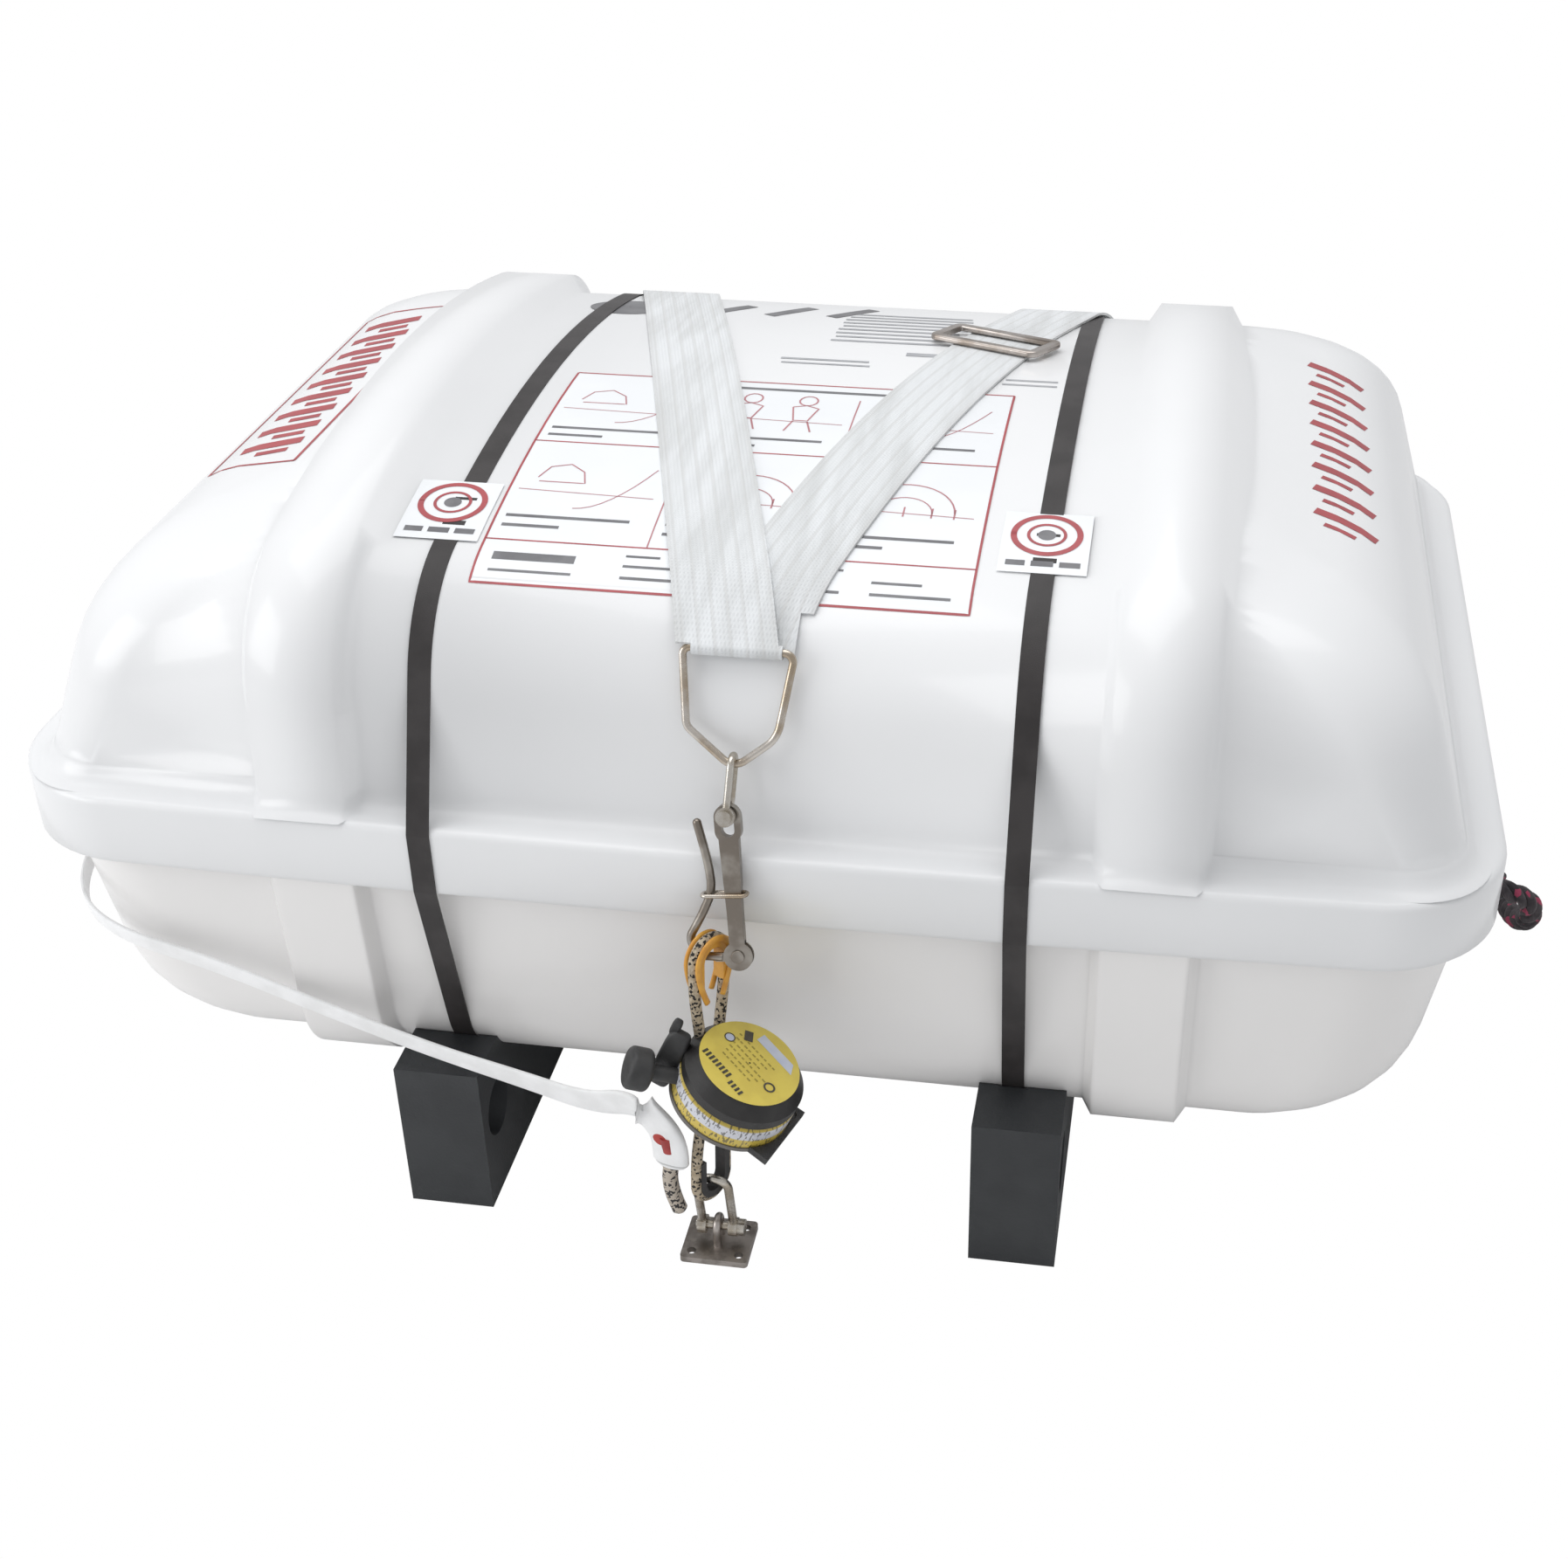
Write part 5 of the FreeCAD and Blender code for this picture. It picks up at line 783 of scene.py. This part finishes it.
# an outlined panel on the sloping left end, and a column of marks on the right one
endPanel = [strokeOf([(-0.352, 0.196), (-0.426, 0.196), (-0.428, -0.137), (-0.354, -0.147)],
                     0.0026, closed=True)]
endStrokes = []
for step in range(9):   # plain bars in pairs, a long one and a short one
    y = 0.165 - 0.0335 * step
    endStrokes.append(strokeOf([(-0.365, y), (-0.413, y - 0.004)], 0.0125))
    endStrokes.append(strokeOf([(-0.371, y - 0.0165), (-0.396, y - 0.0185)], 0.0075))
for step in range(8):
    y = 0.175 - 0.041 * step
    endStrokes.append(strokeOf([(0.384, y), (0.428, y - 0.014)], 0.0105))
    endStrokes.append(strokeOf([(0.39, y - 0.02), (0.412, y - 0.027)], 0.006))

film("placardFilm", [sheetOf(placard["corners"])], inkWhite, 0.00015)
film("placardFrame", frameLines, inkRed, 0.0003)
film("placardRules", thinLines + drawing, inkThin, 0.0003)
film("placardText", captions, inkGrey, 0.0003)
film("printBlock", printBlock, inkPale, 0.0003)
film("brushMarks", marksDark, inkGrey, 0.0003)
film("endPanel", endPanel, inkRed, 0.0003)
film("endStrokes", endStrokes, inkRed, 0.0003)

stickers = {"left": (-0.212, -0.210), "right": (0.203, -0.205)}
for sideName, (cx, cy) in stickers.items():
    patch = sheetOf([(cx - 0.03, cy + 0.026), (cx + 0.03, cy + 0.026), (cx + 0.03, cy - 0.042),
                     (cx - 0.03, cy - 0.042)], 0.004)
    ringShape = strokeOf(arcOf((cx, cy), (0.0225, 0.0215), 0, 360, count=49), 0.0042, 0.003)
    inner = strokeOf(arcOf((cx, cy), (0.0125, 0.0118), 0, 360, count=33), 0.0022, 0.003)
    dot = [discOf((cx, cy), (0.0062, 0.0058))]
    bars = [strokeOf([(cx - 0.025, cy - 0.032), (cx - 0.012, cy - 0.032)], 0.0055, 0.003),
            strokeOf([(cx - 0.008, cy - 0.032), (cx + 0.007, cy - 0.032)], 0.0055, 0.003),
            strokeOf([(cx + 0.011, cy - 0.032), (cx + 0.025, cy - 0.032)], 0.0055, 0.003)]
    film("stickerFilm_" + sideName, [patch], inkWhite, 0.0013)
    film("stickerRing_" + sideName, [ringShape, inner], inkRed, 0.0016)
    film("stickerMarks_" + sideName, dot + bars, inkGrey, 0.0015)
print("stage: prints wrapped on")


labelAxis = np.array(label["axis"]) / np.linalg.norm(label["axis"])
labelSide = np.array(label["side"]) - labelAxis * np.dot(label["side"], labelAxis)
labelSide /= np.linalg.norm(labelSide)
labelUp = np.cross(labelAxis, labelSide)
c, s = math.cos(math.radians(label["turn"])), math.sin(math.radians(label["turn"]))
lineWay = labelSide * c + labelUp * s
lineUp = labelUp * c - labelSide * s


def labelPiece(name, shapes, material, lift):
    points, faces, start = [], [], 0
    for some, quads in shapes:
        points.append(np.array(some, float))
        faces += (np.array(quads) + start).tolist()
        start += len(some)
    flat = np.concatenate(points)
    solid = (np.array(label["centre"]) + flat[:, :1] * lineWay + flat[:, 1:] * lineUp
             + labelAxis * lift)
    mesh = bpy.data.meshes.new(name)
    mesh.from_pydata(solid.tolist(), [], faces)
    mesh.update()
    return newPiece(name, mesh, material, "tether")


def roundedBlock(name, centre, across, half, power):
    # |u/a|^n + |v/b|^n + |w/c|^n = 1 with n = 2 / power, w along the unit's axis
    lon = np.linspace(0, 2 * math.pi, 40, endpoint=False)[None, :]
    lat = np.linspace(-math.pi / 2 + 0.02, math.pi / 2 - 0.02, 25)[:, None]
    shaped = [np.sign(f) * np.abs(f) ** power for f in
              (np.cos(lat) * np.cos(lon), np.cos(lat) * np.sin(lon), np.sin(lat) + 0 * lon)]
    cloud = sum(shaped[k][..., None] * half[k] * across[k] for k in range(3))
    mesh = gridMesh(name, cloud + np.array(centre, float))
    return newPiece(name, mesh, paints["ear"], "tether")


yoke = {"centre": (-0.0245, -0.4165, 0.1915), "half": (0.0085, 0.0055, 0.0265), "power": 0.45}
prong = {"centre": (-0.0185, -0.4165, 0.2185), "half": (0.0035, 0.003, 0.0075), "power": 0.6}
knobAxes = (labelSide, labelUp, labelAxis)
roundedBlock("knobYoke", yoke["centre"], knobAxes, yoke["half"], yoke["power"])
roundedBlock("knobProng", prong["centre"], knobAxes, prong["half"], prong["power"])

labelYellow = plain("labelYellow", (0.72, 0.58, 0.1), (0.66, 0.52, 0.09), 60, rough=0.35,
                    coat=0.3, coatRough=0.12)
labelBlue = plain("labelPale", (0.52, 0.56, 0.68), (0.6, 0.63, 0.7), 60, rough=0.35)
labelInk = plain("labelInk", (0.05, 0.045, 0.03), (0.08, 0.07, 0.05), 60, rough=0.4)
labelFaint = plain("labelFaint", (0.4, 0.31, 0.06), (0.34, 0.27, 0.05), 60, rough=0.4)
labelPiece("labelDisc", [discOf((0, 0), (label["radius"],) * 2, rings=6, count=64)],
           labelYellow, 0.0003)
labelPiece("labelBlock", [sheetOf([(-0.013, 0.0275), (0.017, 0.0275), (0.0225, 0.0195),
                                   (-0.0125, 0.0195)], 0.004),
                          discOf((-0.0236, 0.0028), (0.0031, 0.0031), rings=2, count=24)],
           labelBlue, 0.0005)
bars = [strokeOf([(-0.0205, 0.0195), (-0.0145, 0.0125)], 0.0062),
        strokeOf(arcOf((-0.0236, 0.0028), (0.0036, 0.0036), 0, 360), 0.0008),
        strokeOf(arcOf((0.0225, -0.0025), (0.0036, 0.0036), 0, 360), 0.0014)]
for start, end, y, tall in ((-0.0235, 0.0015, -0.019, 0.0052), (0.0055, 0.0185, -0.0225, 0.0046)):
    for x in np.arange(start, end, 0.0034):   # a row of plain upright dashes
        bars.append(strokeOf([(x, y), (x, y - tall)], 0.0019))
labelPiece("labelBars", bars, labelInk, 0.0006)
words = []
for row in range(6):
    for k in range(9 - row % 3):
        x = -0.0225 + 0.0042 * k + 0.0012 * row
        y = 0.0118 - 0.0046 * row
        words.append(strokeOf([(x, y), (x + 0.0022 + 0.0008 * ((k + row) % 2), y)], 0.0013))
labelPiece("labelLines", words, labelFaint, 0.0005)
print("stage: release label set")


floorMat, floorTree, floorShader = newMaterial("floorPale")
finishOf(floorShader, rough=0.9)
feed(floorTree, floorShader.inputs["Base Color"],
     mixed(floorTree, noise(floorTree, 0.5), (0.86, 0.86, 0.86), (0.88, 0.88, 0.88)))
glow = floorTree.nodes.new("ShaderNodeEmission")
glow.inputs["Strength"].default_value = 1.0
pick = floorTree.nodes.new("ShaderNodeMixShader")
floorTree.links.new(floorTree.nodes.new("ShaderNodeLightPath").outputs["Is Camera Ray"],
                    pick.inputs[0])
floorTree.links.new(floorShader.outputs[0], pick.inputs[1])
floorTree.links.new(glow.outputs[0], pick.inputs[2])
floorTree.links.new(pick.outputs[0], floorTree.nodes["Material Output"].inputs["Surface"])
floorMesh = bpy.data.meshes.new("floorPlane")
reach = 12.0
floorMesh.from_pydata([(-reach, -reach, -0.0005), (reach, -reach, -0.0005),
                       (reach, reach, -0.0005), (-reach, reach, -0.0005)], [], [(0, 1, 2, 3)])
floor = bpy.data.objects.new("floorPlane", floorMesh)
floorMesh.materials.append(floorMat)
bpy.context.scene.collection.objects.link(floor)

world = bpy.data.worlds.new("studio")
bpy.context.scene.world = world
world.use_nodes = True
worldTree = world.node_tree
ambient = worldTree.nodes["Background"]
ambient.inputs["Color"].default_value = (0.98, 0.985, 1.0, 1.0)
ambient.inputs["Strength"].default_value = 0.62
white = worldTree.nodes.new("ShaderNodeBackground")
white.inputs["Color"].default_value = (1.0, 1.0, 1.0, 1.0)
white.inputs["Strength"].default_value = 1.0
choose = worldTree.nodes.new("ShaderNodeMixShader")
worldTree.links.new(worldTree.nodes.new("ShaderNodeLightPath").outputs["Is Camera Ray"],
                    choose.inputs[0])
worldTree.links.new(ambient.outputs[0], choose.inputs[1])
worldTree.links.new(white.outputs[0], choose.inputs[2])
worldTree.links.new(choose.outputs[0], worldTree.nodes["World Output"].inputs["Surface"])


def softbox(name, where, aim, across, watts, colour=(1, 1, 1)):
    lamp = bpy.data.lights.new(name, "AREA")
    lamp.shape = "RECTANGLE"
    lamp.size, lamp.size_y = across
    lamp.energy = watts
    lamp.color = colour
    holder = bpy.data.objects.new(name, lamp)
    holder.location = where
    holder.rotation_mode = "QUATERNION"
    holder.rotation_quaternion = (Vector(aim) - Vector(where)).to_track_quat("-Z", "Y")
    bpy.context.scene.collection.objects.link(holder)
    return holder


softbox("overhead", (-0.3, 0.3, 2.9), (0, 0, 0.3), (3.0, 2.4), 44)
softbox("frontLeft", (-2.6, -1.6, 1.3), (0, 0, 0.2), (1.8, 1.6), 26)

lens = {"where": (0.2941, -1.5361, 1.1257), "yaw": -8.907, "pitch": 31.937, "roll": -0.222,
        "focal": 49.65, "shift": (-0.0587, 0.0070)}
yaw, pitch, roll = (math.radians(lens[k]) for k in ("yaw", "pitch", "roll"))
ahead = Vector((math.sin(yaw) * math.cos(pitch), math.cos(yaw) * math.cos(pitch),
                -math.sin(pitch)))
flatRight = Vector((math.cos(yaw), -math.sin(yaw), 0))
flatUp = flatRight.cross(ahead)
camRight = flatRight * math.cos(roll) + flatUp * math.sin(roll)
camUp = -flatRight * math.sin(roll) + flatUp * math.cos(roll)
camData = bpy.data.cameras.new("mainCamera")
camData.lens = lens["focal"]
camData.sensor_width = 36.0
camData.shift_x, camData.shift_y = lens["shift"]
camData.clip_start, camData.clip_end = 0.05, 60.0
camera = bpy.data.objects.new("mainCamera", camData)
turned = Matrix((camRight, camUp, -ahead)).transposed().to_4x4()
camera.matrix_world = Matrix.Translation(Vector(lens["where"])) @ turned
bpy.context.scene.collection.objects.link(camera)
bpy.context.scene.camera = camera
bpy.context.scene.view_settings.view_transform = "Standard"
print("stage: camera and light ready")
